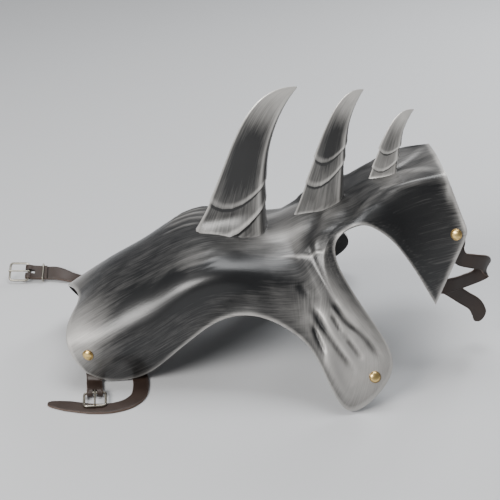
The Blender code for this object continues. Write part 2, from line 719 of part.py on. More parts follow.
def make_keeper(name, frame, group):
    """A wire loop round both layers of the strap, behind the buckle."""
    half_width = STRAP_WIDTH / 2.0 + 2.0 * CLEARANCE + KEEPER_RADIUS
    half_height = STRAP_THICKNESS + 2.5 * CLEARANCE + KEEPER_RADIUS
    middle = -fold_radius() + STRAP_THICKNESS / 2.0 + 0.75 * CLEARANCE
    points = [frame @ Vector((-KEEPER_PLACE, point.y, middle + point.x))
              for point in rounded_ring(half_height, half_width, KEEPER_CORNER)]
    poly_curve(name, points, KEEPER_RADIUS, True, group)


def slot_cutter(name, frame):
    """Box that opens a strap's fold for the prong."""
    reach = fold_radius() + STRAP_THICKNESS
    bpy.ops.mesh.primitive_cube_add(size=1.0)
    box = bpy.context.object
    box.name = name
    box.matrix_world = frame @ Matrix.Diagonal((3.0 * reach, PRONG_SLOT, 2.4 * reach, 1.0))
    return box


def make_nose_tab(group, cutters):
    """Short near strap with a buckle folded into its end."""
    heading = Vector((0.0, 0.0, -1.0))
    keys = seat_keys(NOSE_RIVET, False, 0, heading) + free_keys(NOSE_TAB_KEYS, NOSE_RIVET, False, True)
    last, _ = keys[-1]
    bar = last + Vector((0.0, -0.55 * STRAP_WIDTH, fold_radius()))
    frame = bar_frame(bar, Vector((0.0, -1.0, 0.0)), Vector((0.0, 0.0, 1.0)))
    keys += fold_keys(frame, (0.25 * STRAP_WIDTH,))[:-2]
    tab = ribbon("nose_tab", keys, group)
    cut(tab, slot_cutter("tab_slot", frame), cutters)
    make_buckle("tab_buckle", frame, NEAR_BUCKLE_TILT, group)
    return tab


def make_nose_straps(group, cutters):
    rear_and_down = Vector((1.0, 0.0, -0.35))
    keys = seat_keys(NOSE_RIVET, False, 1, rear_and_down)
    keys += free_keys(NOSE_BILLET_KEYS, NOSE_RIVET, False, True)
    billet = ribbon("nose_billet", keys, group, pointed=True)
    keys = seat_keys(NOSE_RIVET, True, 0, rear_and_down)
    keys += free_keys(NOSE_STRAP_FAR_KEYS, NOSE_RIVET, True, True)
    rivet, _ = seat(NOSE_RIVET, True)
    roll = math.radians(FAR_BUCKLE_ROLL)
    up = Vector((0.0, -math.sin(roll), math.cos(roll)))
    lift = (buckle_half_width() + WIRE_RADIUS) * math.sin(roll)
    lift += (fold_radius() + STRAP_THICKNESS / 2.0) * math.cos(roll)
    bar = Vector((rivet.x + FAR_BUCKLE_PLACE[0] * STRAP_WIDTH,
                  rivet.y + FAR_BUCKLE_PLACE[1] * STRAP_WIDTH, lift))
    frame = bar_frame(bar, Vector((-1.0, 0.12, 0.0)), up)
    keys += fold_keys(frame, (1.8 * KEEPER_PLACE, 1.45 * KEEPER_PLACE))
    strap = ribbon("nose_strap_far", keys, group)
    cut(strap, slot_cutter("far_slot", frame), cutters)
    make_buckle("far_buckle", frame, 0.0, group)
    make_keeper("far_keeper", frame, group)
    return billet, strap


def make_rear_straps(group):
    down = Vector((0.1, 0.0, -1.0))
    keys = seat_keys(REAR_RIVET, False, 0, down)
    keys += free_keys(REAR_STRAP_NEAR_KEYS, REAR_RIVET, False, False)
    near = ribbon("rear_strap_near", keys, group, pointed=True)
    keys = seat_keys(REAR_RIVET, True, 0, down)
    keys += free_keys(REAR_STRAP_FAR_KEYS, REAR_RIVET, True, False)
    far = ribbon("rear_strap_far", keys, group, pointed=True)
    return near, far


def make_rivets(group, cutters, shell, straps):
    """Six rivets and the holes that each of them needs."""
    for name, place, near_layers, far_layers in (("nose", NOSE_RIVET, 2, 1), ("cheek", CHEEK_RIVET, 0, 0),
                                                 ("rear", REAR_RIVET, 1, 1)):
        for side, far, layers in (("near", False, near_layers), ("far", True, far_layers)):
            full_name = "rivet_" + name + "_" + side
            make_rivet(full_name, place, far, rivet_grip(layers), group)
            point, normal = seat(place, far)
            for thing in [shell] + straps.get(full_name, []):
                cut(thing, bore(point, normal, full_name + "_bore"), cutters)


def rest_on_floor(groups):
    """Move everything together, so that the middle of the whole stands at the origin on the floor."""
    bpy.context.view_layer.update()
    graph = bpy.context.evaluated_depsgraph_get()
    corners = []
    for thing in groups[0].objects:
        solid = thing.evaluated_get(graph)
        mesh = solid.to_mesh()
        corners += [solid.matrix_world @ vertex.co for vertex in mesh.vertices]
        solid.to_mesh_clear()
    low = Vector([min(corner[axis] for corner in corners) for axis in range(3)])
    high = Vector([max(corner[axis] for corner in corners) for axis in range(3)])
    move = Vector((-(low.x + high.x) / 2.0, -(low.y + high.y) / 2.0, -low.z))
    for group in groups:
        for thing in group.objects:
            thing.location += move
    bpy.context.view_layer.update()
    print("moved by", [round(value, 5) for value in move])
    return move


def main():
    clear_scene()
    parts = new_collection("horse_head_armour")
    cutters = new_collection("cutters")
    shell = make_shell(parts)
    horn_seat = make_horn_seat(cutters)
    for row in HORNS:
        make_horn(row, parts, cutters, horn_seat)
    tab = make_nose_tab(parts, cutters)
    billet, far_strap = make_nose_straps(parts, cutters)
    rear_near, rear_far = make_rear_straps(parts)
    make_rivets(parts, cutters, shell, {
        "rivet_nose_near": [tab, billet],
        "rivet_nose_far": [far_strap],
        "rivet_rear_near": [rear_near],
        "rivet_rear_far": [rear_far],
    })
    return rest_on_floor((parts, cutters))


MOVE = main()
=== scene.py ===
import math

import bpy
import numpy as np
from mathutils import Matrix, Vector
from mathutils.bvhtree import BVHTree


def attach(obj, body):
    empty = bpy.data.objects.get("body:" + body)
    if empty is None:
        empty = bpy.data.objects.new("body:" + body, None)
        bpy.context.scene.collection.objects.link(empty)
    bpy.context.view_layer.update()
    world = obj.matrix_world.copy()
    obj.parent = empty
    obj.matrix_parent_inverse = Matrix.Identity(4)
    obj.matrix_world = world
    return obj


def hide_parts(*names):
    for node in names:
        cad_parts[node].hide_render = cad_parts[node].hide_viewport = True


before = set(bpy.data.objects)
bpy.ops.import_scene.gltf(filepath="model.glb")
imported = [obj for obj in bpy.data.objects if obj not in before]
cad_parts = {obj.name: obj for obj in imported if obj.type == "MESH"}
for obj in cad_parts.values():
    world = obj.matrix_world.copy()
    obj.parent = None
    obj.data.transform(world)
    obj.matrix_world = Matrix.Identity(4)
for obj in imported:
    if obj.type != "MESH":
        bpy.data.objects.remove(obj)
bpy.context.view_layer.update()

# %% [markdown]
# ## The shell's sections
#
# The form is described as a line of ribs, like a boat's. Each rib has four places: the crest, the
# brow where the top turns down, the flank and the free edge. They are shares of three named sizes,
# so the whole can be made longer, wider or higher without touching the table.
# %% Sizes and sections
LENGTH = 0.470
HALF_SPAN = 0.167
HEIGHT = 0.232
WALL = 0.0028
CROWN_SHARE = 0.25      # girth at which the flat of the top ends, as a share of the way to the edge
BROW_SHARE = 0.50       # girth at which the brow's arc ends
CORNER_START = 18.2     # rib behind which the flank sharpens to a corner
CENTRE = np.array((-0.22615, -0.01035, 0.00008))   # puts the middle of the whole on the origin

# Columns: crest x z, brow x y z, flank x y z, edge x y z, rounding of the brow
SECTIONS = (
    (0.078, 0.318, 0.066, 0.235, 0.276, 0.054, 0.413, 0.196, 0.088, 0.472, 0.064, 0.90),
    (0.112, 0.392, 0.108, 0.262, 0.352, 0.109, 0.491, 0.223, 0.126, 0.477, 0.021, 0.90),
    (0.163, 0.478, 0.166, 0.312, 0.428, 0.174, 0.532, 0.263, 0.175, 0.461, 0.000, 0.85),
    (0.235, 0.545, 0.244, 0.352, 0.506, 0.246, 0.536, 0.329, 0.244, 0.495, 0.060, 0.70),
    (0.320, 0.596, 0.329, 0.438, 0.620, 0.332, 0.530, 0.439, 0.332, 0.544, 0.245, 0.55),
    (0.397, 0.623, 0.402, 0.445, 0.670, 0.406, 0.533, 0.512, 0.405, 0.578, 0.375, 0.50),
    (0.461, 0.636, 0.467, 0.420, 0.656, 0.475, 0.533, 0.525, 0.477, 0.612, 0.414, 0.45),
    (0.523, 0.654, 0.531, 0.390, 0.622, 0.545, 0.563, 0.501, 0.549, 0.682, 0.379, 0.40),
    (0.578, 0.689, 0.584, 0.372, 0.617, 0.602, 0.605, 0.466, 0.618, 0.801, 0.284, 0.35),
    (0.620, 0.726, 0.600, 0.366, 0.634, 0.648, 0.683, 0.412, 0.662, 0.960, 0.112, 0.30),
    (0.649, 0.749, 0.611, 0.362, 0.650, 0.668, 0.707, 0.389, 0.706, 1.000, 0.010, 0.30),
    (0.675, 0.763, 0.619, 0.362, 0.664, 0.688, 0.689, 0.398, 0.779, 0.943, 0.103, 0.30),
    (0.694, 0.773, 0.626, 0.364, 0.680, 0.685, 0.635, 0.445, 0.810, 0.841, 0.245, 0.30),
    (0.710, 0.787, 0.636, 0.371, 0.701, 0.650, 0.533, 0.561, 0.745, 0.641, 0.430, 0.30),
    (0.727, 0.806, 0.660, 0.359, 0.733, 0.658, 0.389, 0.701, 0.674, 0.419, 0.661, 0.30),
    (0.749, 0.842, 0.730, 0.285, 0.780, 0.737, 0.347, 0.784, 0.740, 0.383, 0.781, 0.30),
    (0.787, 0.887, 0.785, 0.262, 0.864, 0.803, 0.365, 0.809, 0.812, 0.401, 0.715, 0.30),
    (0.841, 0.912, 0.841, 0.275, 0.930, 0.859, 0.377, 0.751, 0.866, 0.437, 0.586, 0.30),
    (0.895, 0.950, 0.900, 0.287, 0.968, 0.930, 0.432, 0.685, 0.915, 0.474, 0.424, 0.30),
    (0.955, 1.000, 0.957, 0.276, 0.982, 0.999, 0.498, 0.746, 0.935, 0.480, 0.353, 0.30),
)
RIBS = np.array(SECTIONS)
LAST = len(SECTIONS) - 1
print("ribs:", len(SECTIONS), "from nose to rear")


# %% [markdown]
# ## A smooth sheet through the ribs
#
# Between the ribs the leather flows in smooth curves. A curve through all the ribs gives the places
# in between, and across each rib two arcs round the brow and the flank.
# %% The sheet
BROW_BEND = 0.5         # share of the way to the crest at which a fully rounded brow begins
FLANK_BEND = 0.8        # share of the way to the flank at which it ends


def hermite(start, leave, end, arrive, t):
    """Place on a smooth curve that leaves its start and reaches its end in the given ways."""
    return (start * (2 * t ** 3 - 3 * t ** 2 + 1) + leave * (t ** 3 - 2 * t ** 2 + t)
            + end * (3 * t ** 2 - 2 * t ** 3) + arrive * (t ** 3 - t ** 2))


def ribs_at(places):
    """Smooth rib values at places between the ribs, one row for each place."""
    index = np.minimum(places.astype(int), LAST - 1)
    t = (places - index)[:, None]
    before = RIBS[np.maximum(index - 1, 0)]
    start = RIBS[index]
    end = RIBS[index + 1]
    after = RIBS[np.minimum(index + 2, LAST)]
    return hermite(start, (end - before) * 0.5, end, (after - start) * 0.5, t)


def arc(start, corner, end, t):
    return start * (1 - t) ** 2 + corner * (2 * t * (1 - t)) + end * t ** 2


def ease(value):
    value = np.clip(value, 0.0, 1.0)
    return value * value * (3.0 - 2.0 * value)


def sheet(places, girths):
    """Points of the near half: one row for each place along, one column for each girth."""
    rows = ribs_at(places)
    crest = np.stack([rows[:, 0] * LENGTH, rows[:, 0] * 0.0, rows[:, 1] * HEIGHT], 1)
    brow, flank, edge = [np.stack([rows[:, c] * LENGTH, -rows[:, c + 1] * HALF_SPAN,
                                   rows[:, c + 2] * HEIGHT], 1) for c in (2, 5, 8)]
    bend = rows[:, 11:12]
    before = brow + (crest - brow) * BROW_BEND * bend
    after = brow + (flank - brow) * FLANK_BEND * bend
    middle = flank * 2.0 - (after + edge) * 0.5
    sharp = ease((places - CORNER_START) / (LAST - CORNER_START))[:, None]
    points = np.empty((len(places), len(girths), 3))
    for column, girth in enumerate(girths):
        if girth <= CROWN_SHARE:
            points[:, column] = crest + (before - crest) * (girth / CROWN_SHARE)
        elif girth <= BROW_SHARE:
            t = (girth - CROWN_SHARE) / (BROW_SHARE - CROWN_SHARE)
            points[:, column] = arc(before, brow, after, t)
        else:
            t = (girth - BROW_SHARE) / (1.0 - BROW_SHARE)
            if t < 0.5:
                straight = after + (flank - after) * 2.0 * t
            else:
                straight = flank + (edge - flank) * (2.0 * t - 1.0)
            points[:, column] = arc(after, middle, edge, t) * (1.0 - sharp) + straight * sharp
    return points


def sheet_normals(places, girths, step=0.02):
    """Directions out of the hollow, at the same points."""
    along = sheet(np.minimum(places + step, LAST), girths) - sheet(np.maximum(places - step, 0.0), girths)
    across = sheet(places, np.minimum(girths + step, 1.0)) - sheet(places, np.maximum(girths - step, 0.0))
    normals = np.cross(across, along)
    return normals / np.linalg.norm(normals, axis=2, keepdims=True)


def on_shell(place, girth, far=False):
    """Point on the outside of the shell and the outward direction there."""
    point = sheet(np.array([place]), np.array([girth]))[0, 0]
    normal = sheet_normals(np.array([place]), np.array([girth]), 0.01)[0, 0]
    if far:
        point = point * (1, -1, 1)
        normal = normal * (1, -1, 1)
    return Vector(point), Vector(normal)


print("nose rim at", [round(1000 * v) for v in on_shell(0, 0)[0]], "mm before centring")


# %% [markdown]
# ## Dents, ridges and creases
#
# Wet leather takes sharp marks: pressed dents fan out over the cheek, ridges fan forward from the
# foot of the first horn and a crease runs along the brow to the eye. Each mark is a line over the
# shell, given by rib place and girth, with a half breadth and a height in millimetres, the share of
# it that the near side gets, and the silver that it adds. A height below zero is a dent, and silver
# below zero leaves the leather darker.
# %% Marks in the leather
# Columns: line of (place, girth), half breadth, height, share on the near side, silver
MARKS = (
    # cheek dents
    (((8.45, 0.755), (8.75, 0.80), (9.67, 0.83), (10.45, 0.91)), 3.2, -2.8, 1.0, -0.85),
    (((11.05, 0.69), (11.35, 0.77), (11.62, 0.84)), 2.9, -2.4, 1.0, -0.75),
    (((8.28, 0.84), (8.45, 0.89), (8.75, 0.92)), 2.8, -2.2, 1.0, -0.70),
    (((10.10, 0.72), (10.50, 0.79)), 2.4, -1.5, 1.0, -0.55),
    (((10.65, 0.82), (10.95, 0.90)), 2.8, -2.1, 1.0, -0.70),
    (((11.70, 0.82), (11.72, 0.90), (11.60, 0.95)), 3.0, -2.2, 1.0, -0.70),
    (((8.00, 0.62), (8.30, 0.70)), 3.8, -0.9, 1.0, -0.20),
    # ridges between the cheek dents
    (((9.10, 0.70), (9.90, 0.80), (10.60, 0.88)), 4.5, 1.5, 1.0, 0.45),
    (((10.50, 0.70), (11.00, 0.78), (11.30, 0.87)), 4.0, 1.5, 1.0, 0.45),
    (((11.90, 0.72), (12.15, 0.80), (12.10, 0.90)), 5.0, 1.1, 1.0, 0.25),
    (((8.50, 0.90), (9.20, 0.93), (9.90, 0.97)), 4.0, 1.0, 1.0, 0.30),
    # painted shade along the shoulder of the nose, damping the lamp's highlight there
    (((1.70, 0.56), (3.00, 0.52), (5.00, 0.50), (7.00, 0.49)), 16.0, 0.0, 1.0, -0.38),
    # brow crease
    (((7.30, 0.36), (8.00, 0.36), (9.60, 0.39), (11.20, 0.43), (12.60, 0.47), (13.40, 0.62), (14.10, 0.90)),
     2.0, 0.5, 1.0, 0.48),
    # fan of ridges ahead of the first horn
    (((5.20, 0.40), (4.60, 0.42), (4.00, 0.41)), 3.0, 1.6, 0.35, 0.55),
    (((5.25, 0.31), (4.55, 0.34), (3.85, 0.35)), 2.6, 1.5, 0.35, 0.45),
    (((5.20, 0.22), (4.50, 0.26), (3.75, 0.28)), 2.6, 1.5, 0.30, 0.45),
    (((5.05, 0.15), (4.40, 0.18), (3.65, 0.20)), 2.4, 1.4, 0.25, 0.40),
    (((4.85, 0.08), (4.25, 0.10), (3.60, 0.11)), 2.2, 1.2, 0.25, 0.35),
    # raised edge of the top behind the third horn
    (((14.90, 0.72), (15.25, 0.56), (15.83, 0.33), (16.40, 0.25), (17.40, 0.33), (18.70, 0.35)),
     4.0, 1.2, 1.0, 0.22),
    (((16.90, 0.05), (17.60, 0.07), (18.20, 0.12), (18.70, 0.20)), 4.0, 1.6, 1.0, 0.30),
    # flared rear rim
    (((18.95, 0.02), (18.95, 0.50), (18.95, 0.98)), 3.5, 0.9, 1.0, 0.50),
    # long low swellings of the forehead
    (((6.80, 0.12), (8.50, 0.14), (10.80, 0.13)), 7.0, 1.3, 1.0, 0.35),
    (((12.00, 0.10), (13.80, 0.14), (14.80, 0.20)), 6.0, 1.0, 1.0, 0.10),
)
print("marks on each half:", len(MARKS))


# %% [markdown]
# ## How a mark fades
#
# A mark is strongest on its line, fades out over its half breadth and runs out at both ends.
# %% Tools for marks
def distance_to_line(points, line):
    """Distance of every point to a line of points, and how far along the line it is nearest."""
    best = np.full(len(points), 1e9)
    share = np.zeros(len(points))
    lengths = [np.linalg.norm(line[i + 1] - line[i]) for i in range(len(line) - 1)]
    total = sum(lengths)
    start = 0.0
    for index, length in enumerate(lengths):
        ahead = line[index + 1] - line[index]
        t = np.clip((points - line[index]) @ ahead / (length * length), 0.0, 1.0)
        gap = np.linalg.norm(points - line[index] - t[:, None] * ahead, axis=1)
        nearer = gap < best
        best = np.where(nearer, gap, best)
        share = np.where(nearer, (start + t * length) / total, share)
        start += length
    return best, share


def marks_on(points, far):
    """Height and wear that the marks give to every point of one half; the wear includes painted shade."""
    flat = points.reshape(-1, 3)
    height = np.zeros(len(flat))
    wear = np.zeros(len(flat))
    for places, breadth, rise, near_share, silver_and_painted_shade in MARKS:
        line = np.array([points[round(p * ROWS_EACH), round(g * GIRTH_STEPS)] for p, g in places])
        gap, share = distance_to_line(flat, line)
        taper = ease(1.25 * np.sin(np.pi * (0.04 + 0.92 * share)) + 0.05)
        shape = ease(1.0 - gap / (breadth * 0.002)) * taper
        strength = 1.0 if far else near_share
        height += shape * rise * 0.001 * strength
        # the silver column also carries the painted shade along the nose's shoulder
        wear += shape * silver_and_painted_shade * strength
    return height.reshape(points.shape[:2]), wear.reshape(points.shape[:2])


print("marks that are dents:", sum(rise < 0.0 for _, _, rise, _, _ in MARKS))

# %% [markdown]
# ## Where the silver and the painted light sit
#
# A dry brush leaves silver where the hand goes most: on the front of the nose, over the cheek flaps
# and along the top. On the front of the nose and the top of the rear plate the silver is partly a
# painted highlight, and a patch of less silver over the side of the rear plate is painted shade.
# Each patch below has a place, a girth, a spread of both and a strength.
# %% Patches of silver and painted light
# Columns: place, girth, spread along, spread of girth, strength
PATCHES = (
    # painted highlight on the front of the nose, where the lamp falls, over dry-brush silver
    (0.3, 0.58, 0.95, 0.34, 1.05),
    (1.4, 0.50, 0.70, 0.20, 0.16),
    (4.4, 0.30, 0.80, 0.12, 0.22),
    (8.2, 0.16, 1.90, 0.18, 0.50),
    (9.4, 0.86, 1.60, 0.15, 0.98),
    (11.2, 0.92, 1.30, 0.15, 0.72),
    (12.4, 0.84, 0.90, 0.16, 0.45),
    (10.4, 0.62, 1.80, 0.12, 0.34),
    (13.6, 0.20, 1.20, 0.20, 0.18),
    # dry-brush silver on the rear plate's top, partly a painted highlight
    (17.6, 0.12, 1.20, 0.12, 0.38),
    (18.9, 0.50, 0.30, 0.60, 0.40),
    # painted shade over the side of the rear plate
    (16.8, 0.68, 2.20, 0.34, -0.13),
    (13.3, 0.74, 0.70, 0.14, 0.16),
)
BASE_WEAR = 0.17


def silver_and_painted_light_at(places, girths):
    wear = np.full((len(places), len(girths)), BASE_WEAR)
    for place, girth, along, across, strength in PATCHES:
        wear += strength * np.exp(-((places[:, None] - place) / along) ** 2
                                  - ((girths[None, :] - girth) / across) ** 2)
    return wear


print("patches:", len(PATCHES))

# %% [markdown]
# ## Cutting and laying the leather
#
# One flat grid is laid over the form, row by row from nose to rear and column by column from the
# near edge over the crest to the far edge. The same few steps make the grids of every other piece:
# a grid is made, its points are put in place, and values for the finish are written on them.
# %% Tools for grids
ROWS_EACH = 12          # grid rows from one rib to the next
GIRTH_STEPS = 76        # grid steps from the crest to the edge


def new_grid(columns, rows, name):
    bpy.ops.object.select_all(action="DESELECT")
    bpy.ops.mesh.primitive_grid_add(x_subdivisions=columns, y_subdivisions=rows, size=1.0)
    piece = bpy.context.object
    piece.name = name
    piece.data.name = name
    return piece


def grid_order(piece, columns, rows):
    """Column and row of every vertex of a grid of that size."""
    places = np.empty(len(piece.data.vertices) * 3)
    piece.data.vertices.foreach_get("co", places)
    places = places.reshape(-1, 3)
    return (np.rint((places[:, 0] + 0.5) * columns).astype(int),
            np.rint((places[:, 1] + 0.5) * rows).astype(int))


def put(piece, points):
    piece.data.vertices.foreach_set("co", np.ascontiguousarray(points, dtype=np.float32).ravel())
    piece.data.update()


def paint(piece, name, values):
    """Write one number or one vector on every point of a piece."""
    values = np.ascontiguousarray(values, dtype=np.float32)
    kind, field = ("FLOAT", "value") if values.ndim == 1 else ("FLOAT_VECTOR", "vector")
    layer = piece.data.attributes.new(name, kind, "POINT")
    layer.data.foreach_set(field, values.ravel())


def activate(piece):
    bpy.ops.object.select_all(action="DESELECT")
    piece.select_set(True)
    bpy.context.view_layer.objects.active = piece


def dressed(piece, node, slot, *finishes):
    """Give a piece its finishes and let it stand for one node of the part."""
    piece.data.materials.clear()
    for finish in finishes:
        piece.data.materials.append(finish)
    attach(piece, "root")
    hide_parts(node)


print("grid of the shell:", 2 * GIRTH_STEPS, "by", LAST * ROWS_EACH)

# %% [markdown]
# ## Letting the leather settle
#
# Leather has no sharp bends. The long nose is rounded to one smooth curve across each row, and the
# brow and the tight turn beside the eye are relaxed, as a wet hide relaxes when it dries.
# %% The settled sheet
NOSE_SWELL = 0.006      # how far the sides of the nose rim reach forward of a straight rim
SETTLE_PASSES = 60      # steps in which the whole sheet settles
CORNER_PASSES = 260     # steps in which the turn beside the eye settles
NOSE_END = 9.5          # rib place at which the rounding of the nose has faded out
NOSE_FADE = 3.5
NOSE_RIM = 2.2          # rib place back to which the sides of the nose rim swell
EYE_TURN = 13.2         # rib place of the tight turn beside the eye


def relaxed(points, passes, across, along):
    """Let the sheet settle: inner points move towards the middle of their neighbours."""
    for _ in range(passes):
        padded = np.concatenate([points[:, 1:2] * (1, -1, 1), points], axis=1)
        pull = (padded[:, :-2] + padded[:, 2:]) / 2.0 - points[:, :-1]
        settled = points.copy()
        settled[:, :-1] += pull * across[:, :-1, None]
        pull = (settled[:-2] + settled[2:]) / 2.0 - settled[1:-1]
        settled[1:-1] += pull * along[1:-1, :, None]
        points = settled
    return points


def rounded(points, girths, soft):
    """Blend every row towards one smooth curve across the girth, so that the nose has no corner."""
    weight = 1.0 + 5.0 * ease((girths[:, None] - 0.9) / 0.1)
    smooth = points.copy()
    for axis, first_power in ((0, 0), (1, 1), (2, 0)):
        powers = girths[:, None] ** np.arange(first_power, first_power + 6, 2)
        fit = np.linalg.lstsq(powers * weight, points[:, :, axis].T * weight, rcond=None)[0]
        smooth[:, :, axis] = (powers @ fit).T
    return points + (smooth - points) * soft[:, None, None]


def grid_normals(points):
    padded = np.concatenate([points[:, 1:2] * (1, -1, 1), points], axis=1)
    across = np.gradient(padded, axis=1)[:, 1:]
    along = np.gradient(points, axis=0)
    found = np.cross(across, along)
    return found / np.linalg.norm(found, axis=2, keepdims=True)


places = np.linspace(0.0, LAST, LAST * ROWS_EACH + 1)
girths = np.linspace(0.0, 1.0, GIRTH_STEPS + 1)
soft_nose = ease((NOSE_END - places) / NOSE_FADE)
soft_eye = 0.10 + 0.35 * ease(1.0 - np.abs(places - EYE_TURN) / 2.2)
near = rounded(sheet(places, girths), girths, soft_nose)
rim_swell = ease((NOSE_RIM - places) / NOSE_RIM)
near[:, :, 0] -= NOSE_SWELL * rim_swell[:, None] * np.sin(np.pi * girths ** 0.8) ** 2
soft_brow = np.outer(ease((places - 6.5) / 1.5) * ease((15.0 - places) / 1.5),
                     np.exp(-((girths - BROW_SHARE) / 0.09) ** 2))
near = relaxed(near, SETTLE_PASSES, 0.06 + 0.3 * soft_nose[:, None] + 0.42 * soft_brow,
               np.tile(soft_eye[:, None], len(girths)))
soft_corner = 0.48 * np.outer(ease((places - 10.6) / 1.4) * ease((14.6 - places) / 1.2),
                              np.exp(-((girths - 0.56) / 0.17) ** 2))
near = relaxed(near, CORNER_PASSES, soft_corner, soft_corner)
normals = grid_normals(near)
print("settled rows:", len(places))

# %% [markdown]
# ## The skin of the shell
#
# The marks are raised along the sheet's own directions, and fade near the cut edge. Two runs are
# measured over the leather, along it and across it, so that brush strokes can follow them.
# %% The skin made
RIM_WIDTH = 0.006       # width of the band of silver beside the cut edge
RIM_SILVER = 0.75

# silver here holds dry-brush silver together with the painted highlight and painted shade of the patches
silver = silver_and_painted_light_at(places, girths)
steps_along = np.linalg.norm(np.diff(near, axis=0), axis=2)
run_along = np.concatenate([np.zeros((1, near.shape[1])), np.cumsum(steps_along, axis=0)])
steps_across = np.linalg.norm(np.diff(near, axis=1), axis=2)
run_across = np.concatenate([np.zeros((near.shape[0], 1)), np.cumsum(steps_across, axis=1)], axis=1)
flap = np.outer(ease((places - 7.2) / 1.2) * ease((14.0 - places) / 1.0), ease((girths - 0.52) / 0.18))
edge_gap = run_across[:, -1:] - run_across
end_gap = np.minimum(run_along, run_along[-1:] - run_along)
rim = ease(1.0 - np.minimum(edge_gap, end_gap) / RIM_WIDTH)

halves = {}
for far in (False, True):
    height, mark_silver_and_shade = marks_on(near, far)
    points = near + normals * (height * (1.0 - 0.7 * rim))[:, :, None]
    points[:, 0, 1] = 0.0
    if far:
        points = points * (1, -1, 1)
    # wear of each half: silver, rim silver and the marks, with their painted highlight and painted shade
    halves[far] = (points, silver + mark_silver_and_shade + RIM_SILVER * rim)

columns = 2 * GIRTH_STEPS
rows = len(places) - 1
shell = new_grid(columns, rows, "shell_skin")
column, row = grid_order(shell, columns, rows)
is_far = column < GIRTH_STEPS
across_index = np.abs(column - GIRTH_STEPS)
far_points, far_wear_and_painted_light = [values[row, across_index] for values in halves[True]]
near_points, near_wear_and_painted_light = [values[row, across_index] for values in halves[False]]
put(shell, np.where(is_far[:, None], far_points, near_points) + CENTRE)
# the wear attribute carries the painted highlight and painted shade along with the silver
paint(shell, "wear", np.where(is_far, far_wear_and_painted_light, near_wear_and_painted_light))
paint(shell, "flap", flap[row, across_index])
signed = np.where(is_far, 1.0, -1.0) * run_across[row, across_index]
paint(shell, "lay", np.stack([run_along[row, across_index], signed, signed * 0.0], 1))
print("shell skin vertices:", len(shell.data.vertices))

# %% [markdown]
# ## The shell's thickness
#
# The thickness is drawn inwards, because the table gives the outside. A small bevel rounds the cut
# edge as an edge tool would. The inner side has a material of its own: raw leather, black and matt.
# %% Thickness and cut edge
activate(shell)
bpy.ops.object.shade_smooth()
thick = shell.modifiers.new("thickness", "SOLIDIFY")
thick.thickness = WALL
thick.offset = -1.0
thick.material_offset = 1
thick.material_offset_rim = 0
edge_tool = shell.modifiers.new("edge_tool", "BEVEL")
edge_tool.width = 0.0007
edge_tool.segments = 2
edge_tool.limit_method = "ANGLE"
edge_tool.angle_limit = math.radians(55)
edge_tool.harden_normals = False
leather = BVHTree.FromPolygons([v.co for v in shell.data.vertices],
                               [p.vertices[:] for p in shell.data.polygons])
print("wall:", 1000 * WALL, "mm")

# %% [markdown]
# ## Materials
#
# Each finish is one Principled shader. What varies over it comes out of a shared group: colour,
# metal share, roughness and a height for the bump. The group reads a wear value that the mesh
# carries, which holds rubbed silver and, on the shell and horns, painted highlight and painted shade,
# and a pair of coordinates that run along and across the piece, so that brush marks follow the form.
# %% A group for rubbed silver
SILVER_FROM = 0.44      # sum of wear and noise at which silver starts to show


class Nodes:
    """Short ways to add and join shader nodes."""

    def __init__(self, tree):
        self.tree = tree
        self.x = -1200

    def fill(self, node, inputs):
        """Link each input to another node's output, or give it a value."""
        for key, source in inputs.items():
            if hasattr(source, "links"):
                self.tree.links.new(source, node.inputs[key])
            elif source is not None:
                node.inputs[key].default_value = source

    def add(self, kind, inputs=None, **settings):
        node = self.tree.nodes.new(kind)
        node.location = (self.x, 0)
        self.x += 60
        for name, value in settings.items():
            setattr(node, name, value)
        self.fill(node, inputs or {})
        return node

    def math(self, operation, first, second=0.0, third=None, clamp=False):
        return self.add("ShaderNodeMath", {0: first, 1: second, 2: third},
                        operation=operation, use_clamp=clamp).outputs[0]

    def noise(self, vector, scale, detail=4.0, roughness=0.6, distortion=0.0):
        return self.add("ShaderNodeTexNoise", {
            "Vector": vector, "Scale": scale, "Detail": detail, "Roughness": roughness,
            "Distortion": distortion}).outputs["Fac"]

    def streaks(self, lay, along, across, detail, roughness, distortion):
        """Noise that is stretched along or across the piece."""
        scaled = self.add("ShaderNodeVectorMath", {0: lay, 1: (along, across, 1.0)}, operation="MULTIPLY")
        return self.noise(scaled.outputs[0], 1.0, detail, roughness, distortion)

    def mix(self, share, first, second):
        return self.add("ShaderNodeMix", {0: share, 2: first, 3: second}, data_type="FLOAT").outputs[0]

    def blend(self, share, first, second):
        return self.add("ShaderNodeMix", {0: share, 6: first, 7: second}, data_type="RGBA").outputs[2]


